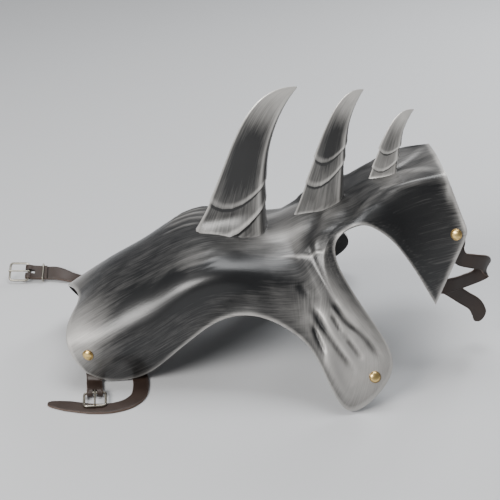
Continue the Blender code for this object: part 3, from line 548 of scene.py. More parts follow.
def rubbed_silver_group():
    group = bpy.data.node_groups.new("rubbed_silver", "ShaderNodeTree")
    for way, sockets in (("INPUT", (("Lay", "Vector"), ("Wear", "Float"), ("Across", "Float"),
                                    ("Dark", "Color"), ("Silver", "Color"))),
                         ("OUTPUT", (("Colour", "Color"), ("Metal", "Float"), ("Roughness", "Float"),
                                     ("Height", "Float")))):
        for name, kind in sockets:
            group.interface.new_socket(name=name, in_out=way, socket_type="NodeSocket" + kind)
    n = Nodes(group)
    entry = n.add("NodeGroupInput")
    leave = n.add("NodeGroupOutput")
    lay = entry.outputs["Lay"]
    long_streaks = n.streaks(lay, 26.0, 520.0, 6.0, 0.62, 0.5)
    cross_streaks = n.streaks(lay, 520.0, 26.0, 6.0, 0.62, 0.5)
    streaks = n.mix(entry.outputs["Across"], long_streaks, cross_streaks)
    blotches = n.streaks(lay, 34.0, 62.0, 5.0, 0.55, 0.3)
    grain = n.noise(lay, 900.0, 3.0, 0.5)
    mixed = n.math("MULTIPLY_ADD", streaks, 0.50, n.math("MULTIPLY", blotches, 0.24))
    # Wear carries the painted highlight and painted shade of the shell and horns as well as rubbed silver
    raised = n.math("MULTIPLY_ADD", entry.outputs["Wear"], 0.72, mixed)
    share = n.math("MULTIPLY", n.math("SUBTRACT", raised, SILVER_FROM), 1.25, clamp=True)
    eased = n.math("POWER", share, 1.35, clamp=True)
    rough = n.math("MULTIPLY_ADD", blotches, 0.20, 0.26)
    low = n.math("MULTIPLY_ADD", grain, 0.22, n.math("MULTIPLY", streaks, 0.6))
    n.fill(leave, {
        "Colour": n.blend(eased, entry.outputs["Dark"], entry.outputs["Silver"]),
        "Metal": n.math("MULTIPLY_ADD", eased, 0.42, 0.12, clamp=True),
        "Roughness": n.math("MULTIPLY_ADD", eased, 0.08, rough, clamp=True),
        "Height": n.math("MULTIPLY_ADD", blotches, 0.4, low)})
    return group


SILVER = rubbed_silver_group()
print("group sockets:", [s.name for s in SILVER.interface.items_tree])


# %% [markdown]
# ## The finishes
#
# Blackened leather and blackened horn share the group and differ in tone. The straps are brown
# leather with a paler cut edge. Brass and buckle metal are plain metals with a little age.
# %% The finishes made
def new_finish(name):
    """A material with its helper and its shader."""
    finish = bpy.data.materials.new(name)
    finish.use_nodes = True
    return finish, Nodes(finish.node_tree), finish.node_tree.nodes["Principled BSDF"]


def attribute(n, name, output):
    return n.add("ShaderNodeAttribute", attribute_name=name).outputs[output]


def in_piece(n):
    return n.add("ShaderNodeTexCoord").outputs["Object"]


def bump(n, height, strength, depth):
    return n.add("ShaderNodeBump", {"Height": height, "Strength": strength,
                                    "Distance": depth}).outputs["Normal"]


def blackened(name, dark, silver, coat):
    finish, n, shader = new_finish(name)
    group = n.add("ShaderNodeGroup", {
        "Lay": attribute(n, "lay", "Vector"), "Wear": attribute(n, "wear", "Fac"),
        "Across": attribute(n, "flap", "Fac"), "Dark": (*dark, 1.0), "Silver": (*silver, 1.0)},
        node_tree=SILVER)
    n.fill(shader, {
        "Base Color": group.outputs["Colour"], "Metallic": group.outputs["Metal"],
        "Roughness": group.outputs["Roughness"], "Coat Weight": coat, "Coat Roughness": 0.22,
        "Normal": bump(n, group.outputs["Height"], 0.35, 0.0006)})
    return finish


def raw_leather():
    finish, n, shader = new_finish("raw_black_leather")
    fibres = n.noise(in_piece(n), 320.0, 5.0, 0.7)
    n.fill(shader, {
        "Base Color": n.blend(fibres, (0.006, 0.006, 0.006, 1.0), (0.016, 0.015, 0.014, 1.0)),
        "Roughness": 0.85, "Normal": bump(n, fibres, 0.4, 0.0006)})
    return finish


def strap_leather():
    finish, n, shader = new_finish("brown_strap_leather")
    cloud = n.noise(in_piece(n), 55.0, 4.0, 0.6)
    pores = n.noise(in_piece(n), 900.0, 3.0, 0.6)
    brown = n.blend(cloud, (0.010, 0.006, 0.0045, 1.0), (0.036, 0.020, 0.014, 1.0))
    n.fill(shader, {
        "Base Color": n.blend(attribute(n, "wear", "Fac"), brown, (0.13, 0.080, 0.055, 1.0)),
        "Roughness": n.math("MULTIPLY_ADD", cloud, 0.25, 0.38),
        "Normal": bump(n, n.math("MULTIPLY_ADD", cloud, 0.7, pores), 0.3, 0.0004)})
    return finish


def metal(name, dark, bright, rough, spots):
    finish, n, shader = new_finish(name)
    age = n.noise(in_piece(n), spots, 5.0, 0.65)
    worn = n.math("MULTIPLY", attribute(n, "wear", "Fac"), 0.75)
    share = n.math("MULTIPLY_ADD", age, 0.7, worn, clamp=True)
    n.fill(shader, {
        "Base Color": n.blend(share, (*dark, 1.0), (*bright, 1.0)), "Metallic": 1.0,
        "Roughness": n.math("MULTIPLY_ADD", age, 0.18, rough), "Normal": bump(n, age, 0.12, 0.0003)})
    return finish


LEATHER = blackened("blackened_leather_silver", (0.0075, 0.0078, 0.0085), (0.48, 0.466, 0.448), 0.25)
HORN = blackened("blackened_horn_silver", (0.012, 0.012, 0.0125), (0.62, 0.605, 0.58), 0.30)
INSIDE = raw_leather()
STRAP = strap_leather()
BRASS = metal("aged_brass", (0.20, 0.11, 0.035), (0.80, 0.58, 0.24), 0.22, 260.0)
STEEL = metal("antique_buckle_metal", (0.09, 0.08, 0.06), (0.52, 0.49, 0.42), 0.26, 300.0)
dressed(shell, "shell", "blackened_leather", LEATHER, INSIDE)
print("finishes:", [m.name for m in (LEATHER, HORN, INSIDE, STRAP, BRASS, STEEL)])

# %% [markdown]
# ## The horns
#
# Each horn is a blade with a sharp front edge and a flat back. It could be carved, but a light
# casting is more likely on such a piece. Its lower part is lapped in scale bands, each band lying
# over the one below. The band edges sweep up towards the back. The two edge curves come from the
# same sizes as in the part.
# %% Horn sizes
HORN_HALF_THICKNESS = 0.015
HORN_ROOT = 0.020
HORN_SUNK = 0.0019      # how far a horn's foot reaches below the face of the leather
FOOT_RISE = 0.20        # share of the height up which a foot's sideways spread runs out
HORN_ROWS = 150
HORN_TIP = 0.992
HORN_FIRST = 0.035      # first row, under the leather
HORN_COLUMNS = ("name", "base_front", "base_rear", "height", "thickness", "tip_x", "tip_z",
                "front_low_x", "front_low_z", "front_high_x", "front_high_z",
                "rear_low_x", "rear_low_z", "rear_high_x", "rear_high_z")
HORNS = (
    ("horn_front", 0.320, 0.551, 0.762, 1.00, 1.275, 0.985,
     0.60, 0.21, 0.505, 1.02, 0.90, 0.32, 0.93, 0.72),
    ("horn_middle", 0.589, 0.733, 0.599, 0.80, 1.260, 1.000,
     0.51, 0.24, 0.594, 1.05, 0.95, 0.42, 0.94, 0.74),
    ("horn_rear", 0.773, 0.862, 0.345, 0.60, 1.350, 0.990,
     0.47, 0.24, 0.580, 1.06, 0.91, 0.31, 1.00, 0.71),
)
# Columns: edges of the bands, spread of the foot as a share of the base, silver, dark field
HORN_LOOKS = {
    "horn_front": ((0.15, 0.28), 0.26, 0.30, 0.50),
    "horn_middle": ((0.28, 0.41), 0.10, 0.40, 0.45),
    "horn_rear": ((0.26, 0.41), 0.20, 0.64, 0.25),
}
BAND_SWEEP = 0.060      # how much higher a band's edge is at the back of the horn
BAND_BELLY = 0.065      # how far a band's edge sags in the middle
BAND_STEP = 0.0016      # how far a band's lower edge stands out
TOP_BAND = 0.22         # share of the height over which the last band thins out
BAND_SILVER = 0.55      # silver on the rim of a band
BAND_SHADE = 0.60       # darkness under that rim
TIP_SILVER = 0.85
FRONT_SILVER = 0.75
BACK_SILVER = 0.65
FOOT_SILVER = 0.30
# Half outline of a horn's section: share of the chord from the front edge, share of the half thickness
HORN_OUTLINE = ((0.0, 0.0), (0.015, 0.10), (0.05, 0.17), (0.14, 0.27), (0.28, 0.43), (0.44, 0.61),
                (0.60, 0.78), (0.73, 0.92), (0.81, 1.00), (0.87, 1.03), (0.91, 0.98), (0.945, 0.80),
                (0.98, 0.40), (1.0, 0.0))
print("horns:", [row[0] for row in HORNS])


# %% [markdown]
# ## Lofting a horn
#
# The two edge curves give a chord at every height, and the section outline is stretched between
# them. Rows are packed tightly at a band's edge, so that the small step stays crisp.
# %% Tools for horns
def cubic(first, second, third, fourth, t):
    return (first * (1 - t) ** 3 + second * (3 * t * (1 - t) ** 2)
            + third * (3 * t * t * (1 - t)) + fourth * t ** 3)


def crest_height(x):
    fine = np.linspace(0.0, LAST, 1200)
    rib = ribs_at(fine)
    return float(np.interp(x, rib[:, 0] * LENGTH, rib[:, 1] * HEIGHT))


def set_down(points):
    """Rest the foot on the leather: points under its face rise to just below it."""
    heights = np.empty(len(points))
    for index, point in enumerate(points):
        hit = leather.ray_cast(Vector((*(point + CENTRE)[:2], 1.0)), Vector((0.0, 0.0, -1.0)))[0]
        heights[index] = (hit.z if hit else -1.0) - CENTRE[2]
    raised = points.copy()
    raised[:, 2] = np.maximum(points[:, 2], heights - np.minimum(HORN_SUNK, (heights - points[:, 2]) * 0.6))
    return raised, raised[:, 2] - heights


def horn_rows(edges):
    """Shares of the height at which a horn has a row of points."""
    rows = list(np.linspace(HORN_FIRST, HORN_TIP, HORN_ROWS))
    rows = [r for r in rows if all(abs(r - e) > 0.004 for e in edges)]
    for e in edges:
        rows += [e - 0.0035, e - 0.0005, e + 0.0005, e + 0.0035]
    return np.array(sorted(rows))


def close_tube(piece, weld=0.000005, crisp=42):
    """Weld the open side of a rolled-up grid, fill its ends and turn the faces outwards."""
    activate(piece)
    bpy.ops.object.mode_set(mode="EDIT")
    bpy.ops.mesh.select_all(action="SELECT")
    bpy.ops.mesh.remove_doubles(threshold=weld)
    bpy.ops.mesh.select_all(action="DESELECT")
    bpy.ops.mesh.select_mode(type="EDGE")
    bpy.ops.mesh.select_non_manifold()
    bpy.ops.mesh.fill_holes(sides=0)
    bpy.ops.mesh.select_all(action="SELECT")
    bpy.ops.mesh.normals_make_consistent(inside=False)
    bpy.ops.object.mode_set(mode="OBJECT")
    bpy.ops.object.shade_smooth_by_angle(angle=math.radians(crisp))   # sharper edges stay crisp


print("crest at the front horn:", round(1000 * crest_height(HORNS[0][1] * LENGTH)), "mm")


# %% [markdown]
# ## The three horns
#
# Silver catches on a horn's tip, its two edges, the rims of its bands and its foot, and leaves a
# dark field half way up. A line of painted shade runs under the rim of each band.
# %% Horns made
def make_horn(sizes):
    s = dict(zip(HORN_COLUMNS, sizes))
    edges, foot_spread, silver_all, dark_field = HORN_LOOKS[s["name"]]
    front_x = s["base_front"] * LENGTH
    rear_x = s["base_rear"] * LENGTH
    base = rear_x - front_x
    tall = s["height"] * HEIGHT
    floor = crest_height((front_x + rear_x) / 2.0)

    def spot(x_share, z_share):
        return np.array((front_x + x_share * base, 0.0, floor + z_share * tall))

    def side_curve(side, foot_x):
        return [np.array((foot_x, 0.0, crest_height(foot_x) - HORN_ROOT)),
                spot(s[side + "_low_x"], s[side + "_low_z"]),
                spot(s[side + "_high_x"], s[side + "_high_z"]), spot(s["tip_x"], s["tip_z"])]

    heights = horn_rows(edges)
    ring = [(c, -h) for c, h in HORN_OUTLINE] + [(c, h) for c, h in reversed(HORN_OUTLINE[1:-1])]
    around = len(ring)
    piece = new_grid(around, len(heights) - 1, s["name"] + "_blade")
    column, row = grid_order(piece, around, len(heights) - 1)
    chord, side = [np.array(values)[column % around] for values in zip(*ring)]
    share = heights[row]
    sweep = BAND_SWEEP * chord ** 3 - BAND_BELLY * np.sin(np.pi * chord)
    height = np.clip(share + sweep * ease(share / 0.14) * ease((1.0 - share) / 0.75), 0.0, 1.0)
    start = cubic(*side_curve("front", front_x), height[:, None])
    end = cubic(*side_curve("rear", rear_x), height[:, None] ** 0.85)
    step = np.zeros(len(share))
    silver_and_painted_shade = np.zeros(len(share))
    tops = list(edges[1:]) + [edges[-1] + TOP_BAND]
    for edge, top in zip(edges, tops):
        inside = (share >= edge) & (share < top)
        rise = np.where(inside, 1.0 - (share - edge) / (top - edge), 0.0)
        step += rise ** 1.5 * BAND_STEP
        silver_and_painted_shade += ease(1.0 - np.abs(share - edge - 0.012) / 0.022) * BAND_SILVER
        # painted shade: a dark line just under each band's rim, where the band above overhangs
        silver_and_painted_shade -= ease(1.0 - np.abs(share - edge + 0.010) / 0.012) * BAND_SHADE
    chord_way = (end - start) / np.maximum(np.linalg.norm(end - start, axis=1, keepdims=True), 1e-6)
    half = HORN_HALF_THICKNESS * s["thickness"] * (1.0 - height) ** 0.75
    step *= ease((1.0 - height) / 0.15)
    points = start - chord_way * step[:, None]
    points = points + (end - start + chord_way * (2 * step)[:, None]) * chord[:, None]
    spread = foot_spread * base * ease(1.0 - height / FOOT_RISE) * np.sin(np.pi * chord ** 0.6)
    points[:, 1] += side * half + np.sign(side) * (spread + step * np.minimum(np.abs(side) * 4.0, 1.0))
    points, foot = set_down(points)
    put(piece, points + CENTRE)
    # worn carries the painted shade under the band rims along with the worn silver
    worn = silver_all + silver_and_painted_shade * (0.35 + 0.65 * np.abs(side)) + TIP_SILVER * ease((height - 0.55) / 0.4)
    worn += FRONT_SILVER * ease(1.0 - chord / 0.05)
    worn += BACK_SILVER * ease(1.0 - np.abs(chord - 0.86) / 0.07)
    worn += FOOT_SILVER * ease(1.0 - foot / 0.003)
    dark = ease(1.0 - np.abs(chord - 0.45) / 0.50) * ease(1.0 - np.abs(height - 0.48) / 0.26)
    worn -= dark_field * dark
    paint(piece, "wear", worn)
    paint(piece, "flap", share * 0.0)
    paint(piece, "lay", np.stack([height * tall, chord * base * 0.6 + side * 0.01, share * 0.0], 1))
    close_tube(piece)
    dressed(piece, s["name"], "blackened_horn", HORN)
    return piece


for sizes in HORNS:
    horn = make_horn(sizes)
    print(horn.name, len(horn.data.vertices), "vertices")

# %% [markdown]
# ## The rivets
#
# Six brass rivets with domed caps hold the straps and finish the cheeks. A rivet is turned metal, so
# its outline is spun round its own line. Inside, a washer spreads the pull. The cap is lifted to the
# face of the settled leather.
# %% Rivets made
RIVET_CAP_RADIUS = 0.0064
RIVET_RIM_BELOW = 0.0012    # how far the cap's skirt reaches below its seat
RIVET_CAP_HEIGHT = 0.0030
RIVET_DOME_RADIUS = 0.0056
RIVET_LIP = 0.0006      # height of the rim round the dome
RIVET_SHANK_RADIUS = 0.0019
RIVET_WASHER_RADIUS = 0.0048
RIVET_WASHER = 0.0009
RIVET_SEAT = 0.0006
RIVET_AROUND = 48
RIVET_LOOK = 0.02       # how far above and below its seat a rivet looks for the leather
CLEARANCE = 0.0003
STRAP_THICKNESS = 0.0024
SEAT_HOLLOW = 0.0032
NOSE_RIVET = (0.75, 0.82)
CHEEK_RIVET = (11.00, 0.96)
REAR_RIVET = (18.56, 0.735)


def strap_depth(layer):
    """Depth of a strap's middle under the face of the shell."""
    return WALL + SEAT_HOLLOW + layer * 1.5 * CLEARANCE + (layer + 0.5) * STRAP_THICKNESS


def make_rivet(name, place, far, layers):
    point, normal = on_shell(*place, far)
    grip = WALL + RIVET_SEAT if layers == 0 else strap_depth(layers - 1) + STRAP_THICKNESS / 2.0
    washer_top = -(grip + 1.5 * CLEARANCE)
    skirt = RIVET_SEAT - RIVET_RIM_BELOW
    outline = [(0.0, RIVET_SEAT + RIVET_CAP_HEIGHT)]
    for step in range(1, 12):
        turn = step / 11 * math.pi / 2
        dome = RIVET_LIP + (RIVET_CAP_HEIGHT - RIVET_LIP) * math.cos(turn)
        outline.append((RIVET_DOME_RADIUS * math.sin(turn), RIVET_SEAT + dome))
    outline += [(0.0058, RIVET_SEAT + 0.00045), (0.0062, RIVET_SEAT + 0.0005),
                (RIVET_CAP_RADIUS, RIVET_SEAT + 0.0003), (RIVET_CAP_RADIUS - 0.0002, skirt),
                (RIVET_SHANK_RADIUS, skirt), (RIVET_SHANK_RADIUS, washer_top),
                (RIVET_WASHER_RADIUS, washer_top), (RIVET_WASHER_RADIUS, washer_top - RIVET_WASHER),
                (0.0, washer_top - RIVET_WASHER)]
    piece = new_grid(RIVET_AROUND, len(outline) - 1, name + "_turned")
    column, row = grid_order(piece, RIVET_AROUND, len(outline) - 1)
    radius, up = [np.array(values)[row] for values in zip(*outline)]
    turn = column / RIVET_AROUND * 2 * math.pi
    above = leather.ray_cast(point + Vector(CENTRE) + normal * RIVET_LOOK, -normal, 2 * RIVET_LOOK)[3]
    lift = RIVET_LOOK - above if above else 0.0
    up = np.where(up > -WALL, up + lift, up)
    local = np.stack([radius * np.cos(turn), radius * np.sin(turn), up], 1)
    spin = np.array(normal.to_track_quat("Z", "Y").to_matrix())
    put(piece, local @ spin.T + np.array(point) + CENTRE)
    paint(piece, "wear", 0.15 + 0.85 * ease((up - lift - 0.0012) / 0.0016))
    close_tube(piece)
    dressed(piece, name, "brass", BRASS)


# Columns: name, place and girth, straps under the near one, straps under the far one
RIVETS = (("nose", NOSE_RIVET, 2, 1), ("cheek", CHEEK_RIVET, 0, 0), ("rear", REAR_RIVET, 1, 1))
for name, place, near_layers, far_layers in RIVETS:
    make_rivet("rivet_" + name + "_near", place, False, near_layers)
    make_rivet("rivet_" + name + "_far", place, True, far_layers)
print("rivets:", 2 * len(RIVETS))

# %% [markdown]
# ## The straps
#
# A strap is a flat band cut from thin brown leather, with its cut edges rounded and a shallow line
# creased beside each edge. It is swept along a path through key places. Each key has a centre, in
# strap widths from the rivet, and the direction of the band's width there.
# %% Strap sizes and keys
STRAP_WIDTH = 0.018
STRAP_TIP = 0.014       # length over which a free end narrows to its point
STRAP_ROUND = 0.005
TAIL_BEHIND = 0.40      # seat of a strap behind and ahead of its rivet, in strap widths
RUN_AHEAD = 0.50
BAND_FULL = 0.96        # keeps the raised middle of a band within the strap's thickness
STRAP_WEAR = 0.06
CUT_EDGE_WEAR = 0.55
# Columns: x, y, z of the centre, then x, y, z of the width's direction
NOSE_TAB_KEYS = (
    (0.18, 0.42, 0.88, 0.96, -0.28, 0.0),
    (0.24, 0.45, 0.38, 0.96, -0.26, 0.0),
    (0.25, 0.24, 0.10, 0.97, -0.20, 0.0),
    (0.26, -0.05, 0.045, 1.0, 0.0, 0.0),
    (0.28, -0.50, 0.045, 1.0, 0.0, 0.0),
    (0.29, -0.75, 0.045, 1.0, 0.0, 0.0),
)
NOSE_BILLET_KEYS = (
    (1.45, 0.55, 1.53, 0.30, 0.0, 0.95),
    (2.35, 1.20, 0.68, 0.80, 0.0, 0.60),
    (2.85, 1.30, 0.30, 1.00, 0.0, 0.10),
    (3.08, 0.95, 0.13, 1.00, 0.0, 0.0),
    (3.14, 0.45, 0.035, 1.00, 0.0, 0.0),
    (3.15, -0.65, 0.00, 1.00, 0.0, 0.0),
    (2.95, -1.65, 0.00, 0.87, -0.50, 0.0),
    (2.35, -2.35, 0.00, 0.45, -0.89, 0.0),
    (1.50, -2.70, 0.00, 0.05, -1.00, 0.0),
    (0.20, -2.70, 0.00, -0.08, -1.00, 0.0),
    (-1.20, -2.30, 0.00, -0.28, -0.96, 0.0),
    (-2.60, -1.85, 0.00, -0.25, -0.97, 0.0),
)
NOSE_STRAP_FAR_KEYS = (
    (1.45, -0.55, 1.53, 0.30, 0.0, 0.95),
    (2.35, -1.20, 0.68, 0.80, 0.0, 0.60),
    (2.85, -1.30, 0.31, 1.00, 0.0, 0.02),
    (3.15, -0.95, 0.14, 1.00, 0.0, 0.0),
    (3.20, -0.45, 0.045, 1.00, 0.0, 0.0),
    (3.15, 0.80, 0.005, 0.98, 0.20, 0.0),
    (2.40, 2.60, 0.00, 0.70, 0.71, 0.0),
    (1.00, 3.90, 0.00, 0.45, 0.89, 0.0),
    (-0.30, 4.55, 0.04, 0.37, 0.93, 0.0),
    (-1.20, 4.85, 0.12, 0.30, 0.94, 0.12),
)
REAR_STRAP_NEAR_KEYS = (
    (0.14, 0.30, -1.05, 0.82, -0.35, 0.45),
    (0.48, 0.32, -1.85, 0.50, -0.15, 0.87),
    (1.40, 0.45, -2.20, 0.15, 0.0, 0.99),
    (2.25, 0.85, -2.60, 0.20, 0.0, 0.98),
    (2.45, 1.25, -3.25, 0.25, 0.0, 0.97),
    (2.00, 1.45, -3.80, 0.10, 0.0, 0.99),
    (1.15, 1.30, -4.05, 0.00, 0.0, 1.00),
    (0.30, 1.05, -4.15, 0.00, 0.0, 1.00),
    (-0.30, 1.15, -4.30, 0.00, 0.0, 1.00),
    (-0.25, 1.65, -4.45, 0.10, 0.0, 1.00),
    (0.45, 1.85, -4.95, 0.50, 0.0, 0.87),
    (1.40, 2.00, -5.70, 0.58, 0.0, 0.81),
    (2.30, 2.15, -6.45, 0.70, 0.0, 0.71),
    (2.60, 2.25, -7.10, 0.95, 0.0, 0.30),
    (2.55, 2.35, -7.75, 1.00, 0.0, 0.0),
)
REAR_STRAP_FAR_KEYS = (
    (0.08, -0.30, -1.10, 0.90, 0.42, 0.0),
    (0.08, -0.42, -2.60, 0.96, 0.28, 0.0),
    (0.05, -0.50, -4.30, 1.0, 0.0, 0.0),
    (0.05, -0.60, -6.00, 1.0, 0.0, 0.0),
)
# One side of the band's face, from its edge inwards: share of the half width, of the half thickness
BAND_SIDE = ((1.0, 0.0), (0.985, 0.55), (0.95, 0.90), (0.90, 1.0), (0.84, 0.98), (0.81, 0.82),
             (0.78, 0.98), (0.70, 1.0), (0.35, 1.03))
BAND_FACE = [(-a, h) for a, h in BAND_SIDE] + [(0.0, 1.04)] + list(reversed(BAND_SIDE))
print("keys of the straps:", len(NOSE_TAB_KEYS), len(NOSE_BILLET_KEYS), len(NOSE_STRAP_FAR_KEYS),
      len(REAR_STRAP_NEAR_KEYS), len(REAR_STRAP_FAR_KEYS))


# %% [markdown]
# ## Sweeping a strap
#
# The path leans to the nearer key, so that it doesn't swing out where keys stand unevenly. The
# section is then carried along it, narrowed to a point at a free end.
# %% Tools for straps
def lean(points, index):
    back = points[index] - points[max(index - 1, 0)]
    ahead = points[min(index + 1, len(points) - 1)] - points[index]
    if back.length == 0.0 or ahead.length == 0.0:
        return (back + ahead).normalized()
    blend = back.normalized() * ahead.length + ahead.normalized() * back.length
    return blend / (back.length + ahead.length)


def path(points, position):
    index = min(int(position), len(points) - 2)
    t = position - index
    start = points[index]
    end = points[index + 1]
    chord = (end - start).length
    return hermite(start, lean(points, index) * chord, end, lean(points, index + 1) * chord, t)


def turned(values, position):
    """Smooth direction at a position in a list of directions."""
    last = len(values) - 1
    index = min(int(position), last - 1)
    t = position - index
    before = values[max(index - 1, 0)]
    start = values[index]
    end = values[index + 1]
    after = values[min(index + 2, last)]
    return hermite(start, (end - before) * 0.5, end, (after - start) * 0.5, t)


def seat_keys(place, far, layer, heading):
    """Keys of the straight part that lies against the shell round its rivet."""
    point, normal = on_shell(*place, far)
    middle = point - normal * strap_depth(layer)
    ahead = (heading - normal * heading.dot(normal)).normalized()
    width = normal.cross(ahead)
    return [(middle + ahead * share * STRAP_WIDTH, width)
            for share in (-TAIL_BEHIND, 0.0, RUN_AHEAD, RUN_AHEAD + 0.06)]


def free_keys(table, place, far, from_floor):
    """Keys of a table, placed in strap widths from the rivet."""
    rivet, _ = on_shell(*place, far)
    base = STRAP_THICKNESS / 2.0 if from_floor else rivet.z
    return [(Vector((rivet.x + x * STRAP_WIDTH, rivet.y + y * STRAP_WIDTH, z * STRAP_WIDTH + base)),
             Vector((wx, wy, wz))) for x, y, z, wx, wy, wz in table]


def strap_keys(table, place, far, layer, heading, from_floor=True):
    return seat_keys(place, far, layer, heading) + free_keys(table, place, far, from_floor)


def sweep_strap(name, keys, pointed, steps=9):
    """A band along the keys, with a number of steps from one key to the next."""
    centres = [centre for centre, _ in keys]
    widths = [keys[0][1]]
    for _, width in keys[1:]:
        widths.append(width if width.dot(widths[-1]) > 0.0 else -width)
    length = sum((centres[i + 1] - centres[i]).length for i in range(len(centres) - 1))
    ring = BAND_FACE + [(a, -h) for a, h in reversed(BAND_FACE[1:-1])]
    around = len(ring)
    rows = (len(keys) - 1) * steps
    piece = new_grid(around, rows, name + "_band")
    column, row = grid_order(piece, around, rows)
    frames = []
    for index in range(rows + 1):
        position = index / steps
        centre = path(centres, position)
        ahead = path(centres, min(position + 0.05, len(keys) - 1))
        ahead = ahead - path(centres, max(position - 0.05, 0.0))
        width = turned(widths, position)
        width = (width - ahead * (width.dot(ahead) / ahead.length_squared)).normalized()
        face = width.cross(ahead).normalized()
        share = index / rows
        half = STRAP_WIDTH / 2.0 * min(1.0, 0.6 + 0.4 * share * length / STRAP_ROUND)
        if pointed:
            half *= min(1.0, 0.25 + 0.75 * math.sqrt(max((1.0 - share) * length / STRAP_TIP, 0.0)))
        frames.append((np.array(centre), np.array(width) * half, np.array(face) * STRAP_THICKNESS / 2.0))
    centre, width, face = [np.array(values)[row] for values in zip(*frames)]
    a, h = [np.array(values)[column % around] for values in zip(*ring)]
    put(piece, centre + width * a[:, None] + face * h[:, None] * BAND_FULL + CENTRE)
    paint(piece, "wear", CUT_EDGE_WEAR * ease((np.abs(a) - 0.93) / 0.06) + STRAP_WEAR)
    close_tube(piece)
    dressed(piece, name, "strap_leather", STRAP)
    return piece


print("points round a strap:", 2 * len(BAND_FACE) - 2)


# %% [markdown]
# ## Buckles
#
# A wire buckle is bent from one rod into a rounded frame. The strap's end is folded round its rear
# bar and riveted or sewn back on itself, a slot lets the prong through, and the prong lies on the
# front bar. The far strap also has a wire keeper that holds its folded end down.
# %% Buckle sizes
WIRE_RADIUS = 0.0014
BUCKLE_MARGIN = 0.0016
BUCKLE_LENGTH = 0.024
BUCKLE_CORNER = 0.004
PRONG_RADIUS = 0.0010
PRONG_REACH = 0.0018
PRONG_SLOT = 0.0050
FOLD_RETURN = 0.024
KEEPER_PLACE = 0.019
KEEPER_RADIUS = 0.0010
KEEPER_CORNER = 0.0016
NEAR_BUCKLE_TILT = 2.5
FAR_BUCKLE_ROLL = 38.0
FAR_BUCKLE_PLACE = (-4.45, 5.25)
FOLD_RADIUS = WIRE_RADIUS + 2.0 * CLEARANCE + STRAP_THICKNESS / 2.0
BUCKLE_HALF_WIDTH = STRAP_WIDTH / 2.0 + BUCKLE_MARGIN + WIRE_RADIUS
print("buckle:", round(1000 * BUCKLE_LENGTH), "by", round(2000 * BUCKLE_HALF_WIDTH), "mm over its wire")


# %% [markdown]
# ## Bending the wire
#
# Each buckle has a frame of its own: along the strap, across it and up, with the rear bar on its
# origin. The fold of the strap, the wire ring and the prong are all drawn in that frame.
# %% Tools for buckles
def bar_frame(place, along, up):
    """Frame on the rear bar of a buckle."""
    along = along.normalized()
    across = up.cross(along).normalized()
    up = along.cross(across)
    made = Matrix((along, across, up)).transposed().to_4x4()
    made.translation = place
    return made


def fold_keys(frame_at, leads):
    """Keys of a strap's end: up to the bar, round it and back over the strap."""
    layer = -FOLD_RADIUS + STRAP_THICKNESS + 1.5 * CLEARANCE
    spots = [(-lead, -FOLD_RADIUS) for lead in leads]
    spots += [(-FOLD_RADIUS, -FOLD_RADIUS), (0.0, -FOLD_RADIUS)]
    spots += [(FOLD_RADIUS * math.sin(turn), -FOLD_RADIUS * math.cos(turn))
              for turn in (math.pi / 4, math.pi / 2, 3 * math.pi / 4)]
    spots += [(0.0, FOLD_RADIUS), (-0.25 * FOLD_RETURN, layer + 0.35 * FOLD_RADIUS),
              (-0.5 * FOLD_RETURN, layer), (-FOLD_RETURN, layer)]
    width = frame_at.to_3x3() @ Vector((0.0, 1.0, 0.0))
    return [(frame_at @ Vector((along, 0.0, up)), width) for along, up in spots]


def rounded_ring(half_length, half_width, corner, steps=7):
    points = []
    for quarter, (x_side, y_side) in enumerate(((1, 1), (-1, 1), (-1, -1), (1, -1))):
        centre = Vector((x_side * (half_length - corner), y_side * (half_width - corner), 0.0))
        for step in range(steps + 1):
            angle = (quarter + step / steps) * math.pi / 2
            points.append(centre + Vector((math.cos(angle), math.sin(angle), 0.0)) * corner)
    return points


def wire(name, points, radius, closed):
    """A round wire through points, turned into a mesh."""
    curve = bpy.data.curves.new(name, "CURVE")
    curve.dimensions = "3D"
    curve.bevel_depth = radius
    curve.bevel_resolution = 5
    curve.use_fill_caps = not closed
    line = curve.splines.new("POLY")
    line.points.add(len(points) - 1)
    for spot, point in zip(line.points, points):
        spot.co = (*(point + Vector(CENTRE)), 1.0)
    line.use_cyclic_u = closed
    piece = bpy.data.objects.new(name + "_wire", curve)
    bpy.context.scene.collection.objects.link(piece)
    activate(piece)
    bpy.ops.object.convert(target="MESH")
    piece = bpy.context.object
    close_tube(piece, 0.00001, 50)
    paint(piece, "wear", np.full(len(piece.data.vertices), 0.45))
    dressed(piece, name, "buckle_steel", STEEL)


def smooth_line(points, steps=6):
    return [path(points, index / steps) for index in range((len(points) - 1) * steps + 1)]


def make_buckle(prefix, frame_at, tilt):
    tilted = frame_at @ Matrix.Rotation(math.radians(tilt), 4, "Y")
    middle = Vector((BUCKLE_LENGTH / 2.0, 0.0, 0.0))
    ring = rounded_ring(BUCKLE_LENGTH / 2.0, BUCKLE_HALF_WIDTH, BUCKLE_CORNER)
    wire(prefix + "_frame", [tilted @ (p + middle) for p in ring], WIRE_RADIUS, True)
    reach = WIRE_RADIUS + 1.5 * CLEARANCE + PRONG_RADIUS
    hook = [Vector((reach * math.sin(turn), 0.0, reach * math.cos(turn)))
            for turn in (math.radians(degrees) for degrees in (-215, -170, -125, -85, -45, 0))]
    hook += [Vector((BUCKLE_LENGTH * share, 0.0, reach)) for share in (0.5, 1.0)]
    hook.append(Vector((BUCKLE_LENGTH + PRONG_REACH, 0.0, reach)))
    wire(prefix + "_prong", smooth_line([tilted @ p for p in hook]), PRONG_RADIUS, False)


